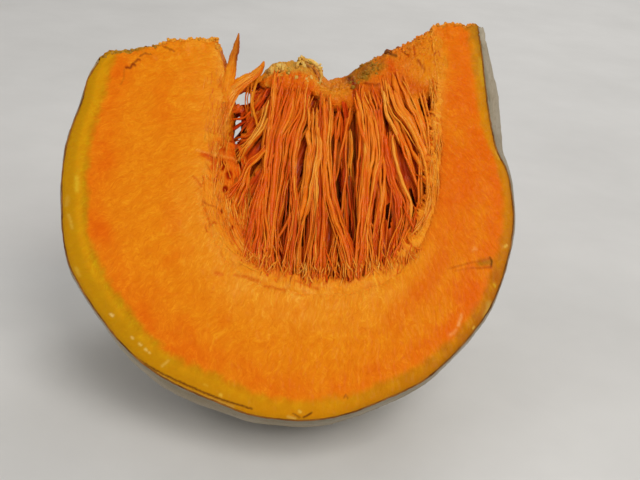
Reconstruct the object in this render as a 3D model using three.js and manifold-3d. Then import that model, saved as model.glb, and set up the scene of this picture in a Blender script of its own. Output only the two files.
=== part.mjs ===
// A wedge cut lengthwise from a ribbed, grey-skinned kabocha squash, at rest on two of its ribs.
// The seeds are gone. The strings that held them still span the seed cavity, from the torn core to
// the wall. Millimetres, +Z up. X runs along the fruit from the stem end (-X) to the blossom end
// (+X), and the front cut face looks towards -Y and up.
import * as THREE from "three";
import { mergeVertices } from "three/addons/utils/BufferGeometryUtils.js";
import Module from "manifold-3d";

// ---- driving dimensions -------------------------------------------------------------------------
const SCALE = 1; // scales the profiles below, which are those of a fruit 231 mm across its grooves
const WEDGE_DEG = 64; // angle between the two cut faces
const RIB_PITCH_DEG = 36; // ten ribs round the whole fruit
const RIB_SHAPE = 1.1; // 1 is a plain sine lobe, more is a broader groove
const SKIN_STEPS = 44; // points along the skin's profile
const SKIN_TURN_DEG = 3; // step round the fruit
const WALL_STEPS = 26; // points along the cavity's profile
const WALL_TURN_DEG = 6;
const CORE_BAND = 6; // height of the torn core that the strings hang from
const STRING_HALF = 1.6; // half the breadth of a string, seen from the cut face
const STRING_FAN_DEG = 5.2; // half the angle it fills, seen along the axis, so that it broadens to the wall
const STRING_SIDES = 5;
const STRING_STEPS = 4;
const STRING_LAYERS = [7, 19.5, 32, 44.5, 57]; // degrees behind the front cut face
const REST_LEAN_DEG = 36; // how far the front cut face leans back from upright
const REST_TILT_DEG = 8.125; // how far the blossom end is lifted, where the weight sits over the ribs

// ---- profiles in the front cut plane, as [x along the axis, distance from the axis] --------------
// The skin along a groove, from the stem end's hollow round the equator to the blossom end.
const SKIN_GROOVE = [
  [-61, 2.5], [-63.6, 6.6], [-65.4, 9.4], [-66.7, 11.8], [-68.3, 18], [-70.7, 24], [-73.2, 31.6],
  [-74.6, 42.1], [-74.7, 49.6], [-74.6, 57.1], [-73.8, 63.1], [-72.4, 68.4], [-67.4, 78], [-63.4, 84],
  [-59, 90], [-53.4, 96], [-47.3, 100.9], [-39.3, 105.5], [-30.7, 109.6], [-22.4, 113.2],
  [-8.5, 115.6], [-1.5, 115.5], [5.6, 114.3], [14.2, 111.6], [21.4, 109], [27.3, 106.2],
  [32.3, 102.6], [38.1, 97.6], [44, 91.4], [47.6, 86.7], [50.7, 80.8], [53.2, 74.6], [55.3, 67.7],
  [56.4, 61.8], [56.6, 55], [55.7, 46.8], [53.4, 40.4], [52.6, 35.1], [52, 28.3], [51.7, 18.9],
  [51.5, 9], [51.2, 0.6],
];
// How far the rib crests stand above the grooves, as [share of the profile's length, height].
const RIB_HEIGHT = [
  [0, 0.5], [0.03, 1], [0.07, 2], [0.14, 2.9], [0.22, 3.3], [0.28, 3.7], [0.32, 4.5], [0.36, 5.6],
  [0.41, 5.2], [0.46, 4.2], [0.52, 3.8], [0.59, 3.3], [0.66, 2.7], [0.73, 2.5], [0.79, 2.6],
  [0.83, 2.9], [0.865, 3.8], [0.9, 4.6], [0.93, 4.6], [0.96, 3.4], [1, 1.2],
];
// The wall of the seed cavity, from the stem end to the blossom end.
const CAVITY_WALL = [
  [-24.3, 3], [-24, 14.4], [-24.1, 23.7], [-25.3, 31.4], [-29.4, 38.7], [-31.8, 46.2], [-30.3, 55.2],
  [-27.2, 63.7], [-21.1, 70.8], [-13.5, 74.5], [-3.6, 76.8], [6.4, 77.4], [15.2, 75.6], [22.1, 71.3],
  [27.8, 64.6], [31.6, 55.9], [33.5, 47], [34.9, 36.5], [36.1, 27.3], [37.5, 18.1], [37.2, 10.2],
  [36.8, 0.6],
];
// The blunt, torn edge where the two cuts meet: over the stem end, then over the blossom end.
const EDGE_STEM = [
  [-80, 9.4], [-64.6, 7.6], [-63.6, 6.6], [-61.8, 4.9], [-59.7, 4], [-53.6, 3.8], [-50.6, 3],
  [-44.6, 2.7], [-41.5, 1.4], [-38.5, 1.2], [-32.5, 1.7], [-28, 1.8], [-25.8, 4.4], [-23.5, 6],
];
const EDGE_BLOSSOM = [[35, 4.4], [36.8, 3.9], [37.8, 1.9], [39.7, 1.2], [45.7, 1.3], [50.1, 1.9], [60, 4.5]];
// The torn top of the core, from its free end to where it joins the blossom end's flesh.
const CORE_TOP = [
  [-15.5, 12.5], [-11.3, 10.8], [-7.4, 10.2], [-2.9, 10.4], [0.7, 11.4], [2.6, 14.8], [5.6, 18.2],
  [8.6, 17.6], [11.6, 16.5], [15.4, 13.9], [18.5, 11.6], [22.5, 9.7], [27.2, 6.8], [30.9, 5.7],
  [34, 4.8], [41, 4.4],
];
// The strings of one layer: where each leaves the core, how far round the cavity wall it ends
// (0 is the stem end of the wall, 1 the blossom end), and how much it bows out on the way.
const STRINGS = [
  [-14, 0.150, -0.5], [-13.6, 0.191, -2], [-12.6, 0.232, -3.5], [-11, 0.273, -4], [-8.8, 0.314, -4],
  [-6.2, 0.354, -4], [-3.4, 0.395, -3.5], [-0.6, 0.436, -3], [2.2, 0.477, -2], [5, 0.518, -1],
  [7.8, 0.559, 0], [10.6, 0.600, 0.5], [13.4, 0.641, 1], [16.4, 0.681, 2], [19.8, 0.722, 3],
  [23.4, 0.763, 4], [27.2, 0.804, 4.5], [31, 0.845, 3],
];

// ---- helpers -------------------------------------------------------------------------------------
// The fruit is drawn with its front cut in the XZ plane: y runs behind the cut, and z is minus the
// distance from the axis.
const wasm = await Module();
wasm.setup();
const rad = THREE.MathUtils.degToRad;
const HALF = rad(WEDGE_DEG / 2);

function at(x, r, phiDeg) {
  return new THREE.Vector3(x, r * Math.sin(rad(phiDeg)), -r * Math.cos(rad(phiDeg)));
}

function solid(geometry) {
  const g = geometry.clone();
  g.deleteAttribute("normal");
  g.deleteAttribute("uv");
  const merged = mergeVertices(g, 1e-4);
  const made = new wasm.Manifold(
    new wasm.Mesh({
      numProp: 3,
      vertProperties: new Float32Array(merged.attributes.position.array),
      triVerts: new Uint32Array(merged.index.array),
    }),
  );
  if (made.volume() <= 0) throw new Error("a solid is inside out");
  return made;
}

function geometryOf(made) {
  const m = made.getMesh();
  const v = new Float32Array(m.numVert * 3);
  for (let i = 0; i < m.numVert; i++) v.set(m.vertProperties.subarray(i * m.numProp, i * m.numProp + 3), i * 3);
  const g = new THREE.BufferGeometry();
  g.setAttribute("position", new THREE.BufferAttribute(v, 3));
  g.setIndex(new THREE.BufferAttribute(new Uint32Array(m.triVerts), 1));
  g.computeVertexNormals();
  return g;
}

function curveOf(profile) {
  return new THREE.CatmullRomCurve3(
    profile.map(([x, r]) => new THREE.Vector3(x * SCALE, r * SCALE, 0)), false, "centripetal");
}

// 0 in a groove and 1 on a crest. The front cut runs along a groove.
const lobe = (phiDeg) => Math.abs(Math.sin((Math.PI * phiDeg) / RIB_PITCH_DEG)) ** RIB_SHAPE;

// The value at q of a table of [position, value] rows.
function read(table, q) {
  const i = Math.max(1, table.findIndex(([p]) => p >= q));
  const [p0, v0] = table[i - 1];
  const [p1, v1] = table[i];
  return v0 + ((v1 - v0) * (q - p0)) / (p1 - p0);
}

// A closed body of revolution about the axis. A ribbed one swells between its grooves.
function revolve(profile, stepDeg, ribbed) {
  const ring = [new THREE.Vector2(0, profile[0].x), ...profile.map((p) => new THREE.Vector2(p.y, p.x)),
    new THREE.Vector2(0, profile.at(-1).x)];
  const turns = Math.round(360 / stepDeg);
  const g = new THREE.LatheGeometry(ring, turns);
  const pos = g.attributes.position;
  for (let i = 0; i <= turns; i++) {
    const phi = (i % turns) * stepDeg;
    for (let j = 0; j < ring.length; j++) {
      let r = ring[j].x;
      let x = ring[j].y;
      if (ribbed && j > 0 && j < ring.length - 1) {
        const a = ring[Math.max(j - 1, 1)];
        const b = ring[Math.min(j + 1, ring.length - 2)];
        const out = new THREE.Vector2(b.y - a.y, -(b.x - a.x)).normalize(); // [radial, axial]
        const h = SCALE * read(RIB_HEIGHT, (j - 1) / (ring.length - 3)) * lobe(phi);
        r += out.x * h;
        x += out.y * h;
      }
      const p = at(x, r, phi);
      pos.setXYZ(i * ring.length + j, p.x, p.y, p.z);
    }
  }
  return solid(g);
}

// A flat outline in the middle plane of the wedge, thickened both ways. Its distances from the axis
// are those of the cut face, so that what it cuts shows there at the drawn height.
function plate(outline, halfWidth) {
  const shape = new THREE.Shape(outline.map(([x, r]) => new THREE.Vector2(x * SCALE, -r * SCALE * Math.cos(HALF))));
  const g = new THREE.ExtrudeGeometry(shape, { depth: 2 * halfWidth, bevelEnabled: false });
  g.translate(0, 0, -halfWidth);
  g.rotateX(Math.PI / 2); // shape y to z, so the plate stands in the XZ plane
  g.rotateX(HALF); // and then turns to the middle of the wedge
  return solid(g);
}

// ---- flesh and skin ------------------------------------------------------------------------------
const wallCurve = curveOf(CAVITY_WALL);
const evenly = (curve, n) => curve.getSpacedPoints(n - 1).map((p) => new THREE.Vector2(p.x, p.y));
const fruit = revolve(evenly(curveOf(SKIN_GROOVE), SKIN_STEPS), SKIN_TURN_DEG, true);
const cavity = revolve(evenly(wallCurve, WALL_STEPS), WALL_TURN_DEG, false);

// The prism between the two cuts.
const reach = 260;
const sector = new THREE.Shape([
  new THREE.Vector2(0, 0),
  new THREE.Vector2(0, -reach),
  new THREE.Vector2(reach * Math.sin(2 * HALF), -reach * Math.cos(2 * HALF)),
]);
const prismGeometry = new THREE.ExtrudeGeometry(sector, { depth: 300, bevelEnabled: false });
prismGeometry.translate(0, 0, -150);
prismGeometry.rotateX(Math.PI / 2).rotateZ(Math.PI / 2); // shape x to y, shape y to z, depth to x
const prism = solid(prismGeometry);

const TOP = -20;
const trimStem = plate([[-80, TOP], ...EDGE_STEM, [-23.5, TOP]], 40);
const trimBlossom = plate([[35, TOP], ...EDGE_BLOSSOM, [60, TOP]], 40);
const flesh = fruit.intersect(prism).subtract(cavity).subtract(trimStem).subtract(trimBlossom);

// ---- core and strings ----------------------------------------------------------------------------
const coreUnder = CORE_TOP.map(([x, r]) => [x, r + CORE_BAND]).reverse();
const core = plate([...CORE_TOP, ...coreUnder], 40);

function string(x0, along, bow, phiDeg, k) {
  const start = read(CORE_TOP, x0) + CORE_BAND * 0.5;
  const end = wallCurve.getPointAt(along);
  const tangent = wallCurve.getTangentAt(along);
  const into = new THREE.Vector2(-tangent.y, tangent.x); // across the wall, away from the cavity
  const x1 = end.x / SCALE + into.x * 3;
  const r1 = end.y / SCALE + into.y * 3;
  const swing = 1.2 * Math.sin(2.4 * k + 0.11 * phiDeg);
  const path = new THREE.CatmullRomCurve3([0, 0.3, 0.65, 1].map((t) => {
    const bulge = Math.sin(Math.PI * t);
    return new THREE.Vector3(
      (x0 + (x1 - x0) * t ** 1.15 + bow * bulge) * SCALE, (start + (r1 - start) * t) * SCALE, swing * bulge);
  })); // x, distance from the axis, and degrees of swing out of its layer
  const count = (STRING_STEPS + 1) * STRING_SIDES;
  const v = [];
  for (let i = 0; i <= STRING_STEPS; i++) {
    const t = i / STRING_STEPS;
    const c = path.getPoint(t);
    const d = path.getTangent(t);
    const flat = Math.hypot(d.x, d.y);
    for (let j = 0; j < STRING_SIDES; j++) {
      const a = (2 * Math.PI * j) / STRING_SIDES;
      const across = STRING_HALF * SCALE * Math.cos(a);
      const turn = phiDeg + c.z + STRING_FAN_DEG * Math.sin(a);
      v.push(...at(c.x + (across * d.y) / flat, c.y - (across * d.x) / flat, turn).toArray());
    }
  }
  for (const e of [0, 1]) {
    const c = path.getPoint(e);
    v.push(...at(c.x, c.y, phiDeg + c.z).toArray());
  }
  const faces = [];
  for (let j = 0; j < STRING_SIDES; j++) {
    const m = (j + 1) % STRING_SIDES;
    for (let i = 0; i < STRING_STEPS; i++) {
      const a = i * STRING_SIDES + j;
      const b = i * STRING_SIDES + m;
      faces.push(a, b + STRING_SIDES, b, a, a + STRING_SIDES, b + STRING_SIDES);
    }
    const last = STRING_STEPS * STRING_SIDES;
    faces.push(count, j, m, count + 1, last + m, last + j);
  }
  const g = new THREE.BufferGeometry();
  g.setAttribute("position", new THREE.Float32BufferAttribute(v, 3));
  g.setIndex(faces);
  return solid(g);
}

let inner = core;
STRING_LAYERS.forEach((phi, layer) => {
  STRINGS.forEach(([x0, along, bow], k) => {
    const shift = layer % 2 ? 0.01 : -0.01;
    inner = inner.add(string(x0 + (layer % 2 ? 0.6 : -0.6), along + shift, bow, phi, k + layer));
  });
});
const wedge = flesh.add(inner.intersect(prism).intersect(fruit));

// ---- the piece -----------------------------------------------------------------------------------
const squash = new THREE.Mesh(geometryOf(wedge), new THREE.MeshStandardMaterial({
  name: "squash_flesh", color: 0xe0791a, roughness: 0.55, metalness: 0,
}));
squash.name = "squash_wedge";
squash.rotation.order = "YXZ";
squash.rotation.set(-rad(REST_LEAN_DEG), -rad(REST_TILT_DEG), 0);
squash.updateMatrixWorld(true);
const box = new THREE.Box3().setFromObject(squash, true);
squash.position.set(-(box.min.x + box.max.x) / 2, -(box.min.y + box.max.y) / 2, -box.min.z);

const group = new THREE.Group();
group.name = "kabocha_squash_wedge";
group.add(squash);
export default group;
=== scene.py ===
# A wedge cut lengthwise from a grey-skinned kabocha squash: flesh, rind, torn core and seed strings.
# Shapes are worked out in the fruit's own frame in millimetres (x along the fruit's axis, y behind the
# front cut, z minus the distance from the axis in that cut) and then set down in the row's frame.
import bpy
import math
import numpy as np
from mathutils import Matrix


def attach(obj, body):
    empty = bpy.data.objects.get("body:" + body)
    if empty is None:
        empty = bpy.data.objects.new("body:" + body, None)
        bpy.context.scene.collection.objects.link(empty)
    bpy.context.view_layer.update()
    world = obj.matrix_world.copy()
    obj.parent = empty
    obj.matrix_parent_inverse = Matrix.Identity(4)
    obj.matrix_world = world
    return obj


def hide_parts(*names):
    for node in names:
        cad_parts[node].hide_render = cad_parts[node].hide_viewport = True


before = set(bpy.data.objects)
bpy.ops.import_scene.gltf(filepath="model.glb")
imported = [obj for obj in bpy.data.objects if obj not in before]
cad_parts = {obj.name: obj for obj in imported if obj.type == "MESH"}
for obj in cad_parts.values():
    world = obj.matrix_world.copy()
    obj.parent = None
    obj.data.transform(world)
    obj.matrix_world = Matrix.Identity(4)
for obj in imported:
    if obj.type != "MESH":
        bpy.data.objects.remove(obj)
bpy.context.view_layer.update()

# ---------------------------------------------------------------- placement
LEAN = math.radians(36.0)
TILT = math.radians(8.125)
POS = np.array([2.140696, 6.299719, 117.053161])
WEDGE = 64.0
_c, _s = math.cos(-LEAN), math.sin(-LEAN)
RX = np.array([[1, 0, 0], [0, _c, -_s], [0, _s, _c]])
_c, _s = math.cos(-TILT), math.sin(-TILT)
RY = np.array([[_c, 0, _s], [0, 1, 0], [-_s, 0, _c]])
ROT = RY @ RX


def to_row(P):
    return (np.asarray(P, float) @ ROT.T + POS) * 0.001


# ---------------------------------------------------------------- camera model
FOC = 60.0 / 36.0 * 640.0
DIST = 308.4
DEL = math.radians(11.0)
RHO = math.radians(-3.2875)
RC = 64.43


def unproj(px, py, d=0.0):
    """A pixel of the picture, to x and distance below the axis on the plane d behind the front cut."""
    px, py, d = np.broadcast_arrays(np.asarray(px, float), np.asarray(py, float), np.asarray(d, float))
    u, v = px - 320.0, py - 240.0
    c, s = math.cos(-RHO), math.sin(-RHO)
    a, b = (c * u - s * v) / FOC, (s * u + c * v) / FOC
    R = (b * (DIST + d * math.cos(DEL)) - d * math.sin(DEL)) / (math.cos(DEL) + b * math.sin(DEL))
    W = DIST - R * math.sin(DEL) + d * math.cos(DEL)
    return a * W, RC + R


def proj(x, r, d):
    X, U = x, -(r - RC) * math.cos(DEL) - d * math.sin(DEL)
    W = DIST - (r - RC) * math.sin(DEL) + d * math.cos(DEL)
    u, v = FOC * X / W, -FOC * U / W
    c, s = math.cos(RHO), math.sin(RHO)
    return 320 + c * u - s * v, 240 + s * u + c * v


# ---------------------------------------------------------------- noise
_rg = np.random.default_rng(7)
GRAD = _rg.normal(size=(256, 3))
GRAD /= np.linalg.norm(GRAD, axis=1)[:, None]
PERM = _rg.permutation(256)
PERM = np.concatenate([PERM, PERM, PERM])


def gnoise(P, seed=0):
    P = np.asarray(P, float)
    sh = P.shape[:-1]
    P = P.reshape(-1, 3) + np.array([13.7, 5.3, 9.1]) * (seed + 1)
    I = np.floor(P).astype(np.int64)
    f = P - I
    u = f * f * f * (f * (f * 6 - 15) + 10)
    out = np.zeros(len(P))
    for dx in (0, 1):
        wx = u[:, 0] if dx else 1 - u[:, 0]
        hx = PERM[(I[:, 0] + dx) & 255]
        for dy in (0, 1):
            wy = u[:, 1] if dy else 1 - u[:, 1]
            hy = PERM[hx + ((I[:, 1] + dy) & 255)]
            for dz in (0, 1):
                wz = u[:, 2] if dz else 1 - u[:, 2]
                g = GRAD[PERM[hy + ((I[:, 2] + dz) & 255)]]
                d = f - np.array([dx, dy, dz])
                out += wx * wy * wz * (g * d).sum(1)
    return (out * 1.5).reshape(sh)


def fbm(P, octaves=4, seed=0, gain=0.5, lac=2.03):
    P = np.asarray(P, float)
    a, tot, out = 1.0, 0.0, 0.0
    for k in range(octaves):
        out = out + a * gnoise(P, seed + 17 * k)
        tot += a
        a *= gain
        P = P * lac
    return out / tot


def sstep(a, b, x):
    t = np.clip((np.asarray(x, float) - a) / (b - a), 0, 1)
    return t * t * (3 - 2 * t)


def lin(*rgb):
    c = np.array(rgb, float) / 255.0
    return np.where(c <= 0.04045, c / 12.92, ((c + 0.055) / 1.055) ** 2.4)


def mix(a, b, t):
    t = np.asarray(t, float)[..., None]
    return a * (1 - t) + b * t


# ---------------------------------------------------------------- profiles, [x, distance from axis]
GROOVE = [[-63.6, 6.6], [-65.4, 9.4], [-66.7, 11.8], [-68.3, 18], [-70.7, 24], [-73.2, 31.6],
          [-74.6, 42.1], [-74.7, 49.6], [-74.6, 57.1], [-73.8, 63.1], [-72.4, 68.4], [-67.4, 78], [-63.4, 84],
          [-59, 90], [-53.4, 96], [-47.3, 100.9], [-39.3, 105.5], [-30.7, 109.6], [-22.4, 113.2], [-8.5, 115.6],
          [-1.5, 115.5], [5.6, 114.3], [14.2, 111.6], [21.4, 109], [27.3, 106.2], [32.3, 102.6], [38.1, 97.6],
          [44, 91.4], [47.6, 86.7], [50.7, 80.8], [53.2, 74.6], [55.3, 67.7], [56.4, 61.8], [56.6, 55],
          [55.7, 46.8], [53.4, 40.4], [52.6, 35.1], [52, 28.3], [51.7, 18.9], [51.5, 9], [51.3, 2.5]]
RIB = [(0, 0.8), (0.02, 1.0), (0.06, 2.0), (0.13, 2.9), (0.21, 3.3), (0.27, 3.7), (0.31, 4.5), (0.355, 5.6), (0.405, 5.2),
       (0.455, 4.2), (0.515, 3.8), (0.585, 3.3), (0.66, 2.7), (0.73, 2.5), (0.79, 2.6), (0.83, 2.9), (0.865, 3.8),
       (0.9, 4.6), (0.93, 4.6), (0.965, 3.2), (1, 1.2)]
CAVITY = [[-26.6, 4.9], [-25.2, 14.4], [-24.4, 23.7], [-25.3, 31.4], [-29.4, 38.7], [-31.8, 46.2], [-30.3, 55.2],
          [-27.2, 63.7], [-21.1, 70.8], [-13.5, 74.5], [-3.6, 76.8], [6.4, 77.4], [15.2, 75.6], [22.1, 71.3],
          [27.8, 64.6], [31.6, 55.9], [33.5, 47], [34.9, 36.5], [36.1, 27.3], [37.5, 18.1], [37.2, 10.2], [36.8, 3.9]]
EDGE_STEM = [[-63.6, 6.6], [-61.8, 4.9], [-59.7, 4.0], [-53.6, 3.8], [-50.6, 3.0], [-44.6, 2.7], [-43, 1.4], [-41.5, 1.0],
             [-38.5, 0.9], [-35.5, 1.2], [-32.5, 1.5], [-29.5, 1.2], [-28.0, 1.4], [-27.2, 3.2], [-26.6, 4.9]]
EDGE_BLOSSOM = [[51.3, 2.5], [50.1, 1.8], [47.5, 1.3], [45.7, 1.2], [42.5, 1.1], [39.7, 0.9], [37.8, 1.7], [36.8, 3.9]]


def catmull(P, n_per=24):
    P = np.asarray(P, float)
    E = np.vstack([2 * P[0] - P[1], P, 2 * P[-1] - P[-2]])
    out = []
    t = np.linspace(0, 1, n_per, endpoint=False)[:, None]
    for i in range(len(P) - 1):
        p0, p1, p2, p3 = E[i:i + 4]
        a, b, c = [max(np.linalg.norm(q) ** 0.5, 1e-6) for q in (p1 - p0, p2 - p1, p3 - p2)]
        m1 = ((p1 - p0) / a - (p2 - p0) / (a + b) + (p2 - p1) / b) * b
        m2 = ((p2 - p1) / b - (p3 - p1) / (b + c) + (p3 - p2) / c) * b
        out.append((2 * p1 - 2 * p2 + m1 + m2) * t ** 3 + (-3 * p1 + 3 * p2 - 2 * m1 - m2) * t ** 2 + m1 * t + p1)
    out.append(P[-1:])
    return np.vstack(out)


def resample(C, n):
    s = np.r_[0, np.cumsum(np.linalg.norm(np.diff(C, axis=0), axis=1))]
    u = np.linspace(0, s[-1], n)
    return np.stack([np.interp(u, s, C[:, k]) for k in range(C.shape[1])], 1)


def length(C):
    return float(np.linalg.norm(np.diff(C, axis=0), axis=1).sum())


def lobe(phi):
    return np.abs(np.sin(np.pi * np.asarray(phi, float) / 36.0)) ** 1.1


def skin_profile(n):
    C = resample(catmull(GROOVE), n)
    T = np.gradient(C, axis=0)
    T /= np.linalg.norm(T, axis=1)[:, None]
    N = np.stack([-T[:, 1], T[:, 0]], 1)
    k = 5
    ker = np.ones(2 * k + 1) / (2 * k + 1)
    N = np.stack([np.convolve(np.pad(N[:, i], k, mode="edge"), ker, mode="valid") for i in (0, 1)], 1)
    N /= np.linalg.norm(N, axis=1)[:, None]
    u = np.linspace(0, 1, n)
    h = np.interp(u, [q[0] for q in RIB], [q[1] for q in RIB])
    return C, N, h


def fruit(x, r, phi):
    """x along the axis, r from it, phi degrees behind the front cut."""
    a = np.radians(phi)
    x, r, a = np.broadcast_arrays(x, r, a)
    return np.stack([x, r * np.sin(a), -r * np.cos(a)], -1)


WALLC = resample(catmull(CAVITY), 500)
_low = WALLC[WALLC[:, 1] > 46]
_ox = np.argsort(_low[:, 0])


def wall_r(x):
    return np.interp(x, _low[_ox, 0], _low[_ox, 1])


def wall_depth(px, py):
    """How far behind the cut the line of sight through a pixel meets the cavity's wall."""
    lo, hi = 0.0, 72.0
    x, r = unproj(px, py, 0.0)
    if r >= wall_r(x) or x < -31 or x > 36:
        return 0.0
    for _ in range(30):
        m = 0.5 * (lo + hi)
        x, r = unproj(px, py, m)
        if math.hypot(float(r), m) < float(wall_r(x)):
            lo = m
        else:
            hi = m
    return lo


def common(P):
    """A small uneven shift that every surface shares, so that edges that meet still meet."""
    P = np.asarray(P, float)
    r = np.hypot(P[..., 1], P[..., 2])
    a = 0.10 + 0.75 * np.exp(-(r / 6.0) ** 2)
    out = np.zeros_like(P)
    for k in range(3):
        out[..., k] = a * (gnoise(P / 2.6, 40 + k) + 0.5 * gnoise(P / 1.0, 50 + k))
    return out


# ---------------------------------------------------------------- mesh making
def build(name, P, faces, mat, attrs=None, smooth=True, flip=False):
    """faces: (M,4) or (M,3) index array, or a list of both."""
    P = to_row(P.reshape(-1, 3))
    groups = faces if isinstance(faces, list) else [faces]
    groups = [g[:, ::-1] if flip else g for g in groups if len(g)]
    me = bpy.data.meshes.new(name)
    loops = np.concatenate([g.ravel() for g in groups]).astype(np.int32)
    totals = np.concatenate([np.full(len(g), g.shape[1]) for g in groups]).astype(np.int32)
    starts = np.r_[0, np.cumsum(totals)[:-1]].astype(np.int32)
    me.vertices.add(len(P))
    me.vertices.foreach_set("co", P.astype(np.float32).ravel())
    me.loops.add(len(loops))
    me.loops.foreach_set("vertex_index", loops)
    me.polygons.add(len(totals))
    me.polygons.foreach_set("loop_start", starts)
    me.update(calc_edges=True)
    if smooth:
        me.polygons.foreach_set("use_smooth", np.ones(len(totals), bool))
    for key, val in (attrs or {}).items():
        val = np.asarray(val, np.float32)
        if val.ndim == 1:
            me.attributes.new(key, "FLOAT", "POINT").data.foreach_set("value", val)
        elif key.startswith("col"):
            rgba = np.ones((len(val), 4), np.float32)
            rgba[:, :3] = np.clip(val, 0, 1)
            me.attributes.new(key, "FLOAT_COLOR", "POINT").data.foreach_set("color", rgba.ravel())
        else:
            me.attributes.new(key, "FLOAT_VECTOR", "POINT").data.foreach_set("vector", val.ravel())
    me.materials.append(mat)
    ob = bpy.data.objects.new(name, me)
    bpy.context.scene.collection.objects.link(ob)
    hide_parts("squash_wedge")
    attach(ob, "root")
    return ob


def grid(nu, nv, wrap=False):
    """Quads of a nu by nv grid of points, v fastest."""
    i = np.arange(nu - 1)[:, None]
    j = np.arange(nv if wrap else nv - 1)[None, :]
    j2 = (j + 1) % nv
    return np.stack([i * nv + j, (i + 1) * nv + j, (i + 1) * nv + j2, i * nv + j2], -1).reshape(-1, 4)


# ---------------------------------------------------------------- materials
def nodes_of(name):
    m = bpy.data.materials.new(name)
    m.use_nodes = True
    nt = m.node_tree
    nt.nodes.clear()
    out = nt.nodes.new("ShaderNodeOutputMaterial")
    b = nt.nodes.new("ShaderNodeBsdfPrincipled")
    nt.links.new(b.outputs[0], out.inputs[0])
    return m, nt, b


def attr(nt, name, kind="Color"):
    n = nt.nodes.new("ShaderNodeAttribute")
    n.attribute_name = name
    return n.outputs[kind]


def vscale(nt, vec, s):
    n = nt.nodes.new("ShaderNodeVectorMath")
    n.operation = "MULTIPLY"
    nt.links.new(vec, n.inputs[0])
    n.inputs[1].default_value = s
    return n.outputs[0]


def vadd(nt, a, b):
    n = nt.nodes.new("ShaderNodeVectorMath")
    n.operation = "ADD"
    nt.links.new(a, n.inputs[0])
    nt.links.new(b, n.inputs[1])
    return n.outputs[0]


def noise(nt, vec, scale=1.0, detail=3.0, rough=0.55, dist=0.0, out="Fac"):
    n = nt.nodes.new("ShaderNodeTexNoise")
    n.inputs["Scale"].default_value = scale
    n.inputs["Detail"].default_value = detail
    n.inputs["Roughness"].default_value = rough
    n.inputs["Distortion"].default_value = dist
    nt.links.new(vec, n.inputs["Vector"])
    return n.outputs[out]


def ramp(nt, fac, stops):
    n = nt.nodes.new("ShaderNodeValToRGB")
    e = n.color_ramp.elements
    while len(e) > 1:
        e.remove(e[-1])
    e[0].position, e[0].color = stops[0][0], (*stops[0][1], 1)
    for p, c in stops[1:]:
        k = e.new(p)
        k.color = (*c, 1)
    nt.links.new(fac, n.inputs[0])
    return n.outputs[0]


def remap(nt, v, a, b, c, d):
    n = nt.nodes.new("ShaderNodeMapRange")
    n.inputs[1].default_value, n.inputs[2].default_value = a, b
    n.inputs[3].default_value, n.inputs[4].default_value = c, d
    nt.links.new(v, n.inputs[0])
    return n.outputs[0]


def mixc(nt, fac, a, b, mode="MIX"):
    n = nt.nodes.new("ShaderNodeMix")
    n.data_type = "RGBA"
    n.blend_type = mode
    for sock, v in ((n.inputs["Factor"], fac), (n.inputs[6], a), (n.inputs[7], b)):
        if isinstance(v, (int, float)):
            sock.default_value = v
        elif isinstance(v, (tuple, list, np.ndarray)):
            sock.default_value = (*[float(q) for q in v], 1)
        else:
            nt.links.new(v, sock)
    return n.outputs[2]


def math2(nt, op, a, b):
    n = nt.nodes.new("ShaderNodeMath")
    n.operation = op
    for sock, v in ((n.inputs[0], a), (n.inputs[1], b)):
        if isinstance(v, (int, float)):
            sock.default_value = v
        else:
            nt.links.new(v, sock)
    return n.outputs[0]


def bump(nt, height, strength, dist_mm, b):
    n = nt.nodes.new("ShaderNodeBump")
    n.inputs["Strength"].default_value = strength
    n.inputs["Distance"].default_value = dist_mm * 0.001
    nt.links.new(height, n.inputs["Height"])
    nt.links.new(n.outputs[0], b.inputs["Normal"])


def moist(b, rough, sss=0.25, coat=0.15, coat_rough=0.25, spec=0.5):
    b.inputs["Roughness"].default_value = rough
    b.inputs["Subsurface Weight"].default_value = sss
    b.inputs["Subsurface Radius"].default_value = (1.0, 0.32, 0.08)
    b.inputs["Subsurface Scale"].default_value = 0.0025
    b.inputs["Coat Weight"].default_value = coat
    b.inputs["Coat Roughness"].default_value = coat_rough
    b.inputs["Specular IOR Level"].default_value = spec
    b.inputs["Specular Tint"].default_value = (1.0, 0.80, 0.55, 1.0)
    b.inputs["Coat Tint"].default_value = (1.0, 0.85, 0.62, 1.0)


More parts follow.
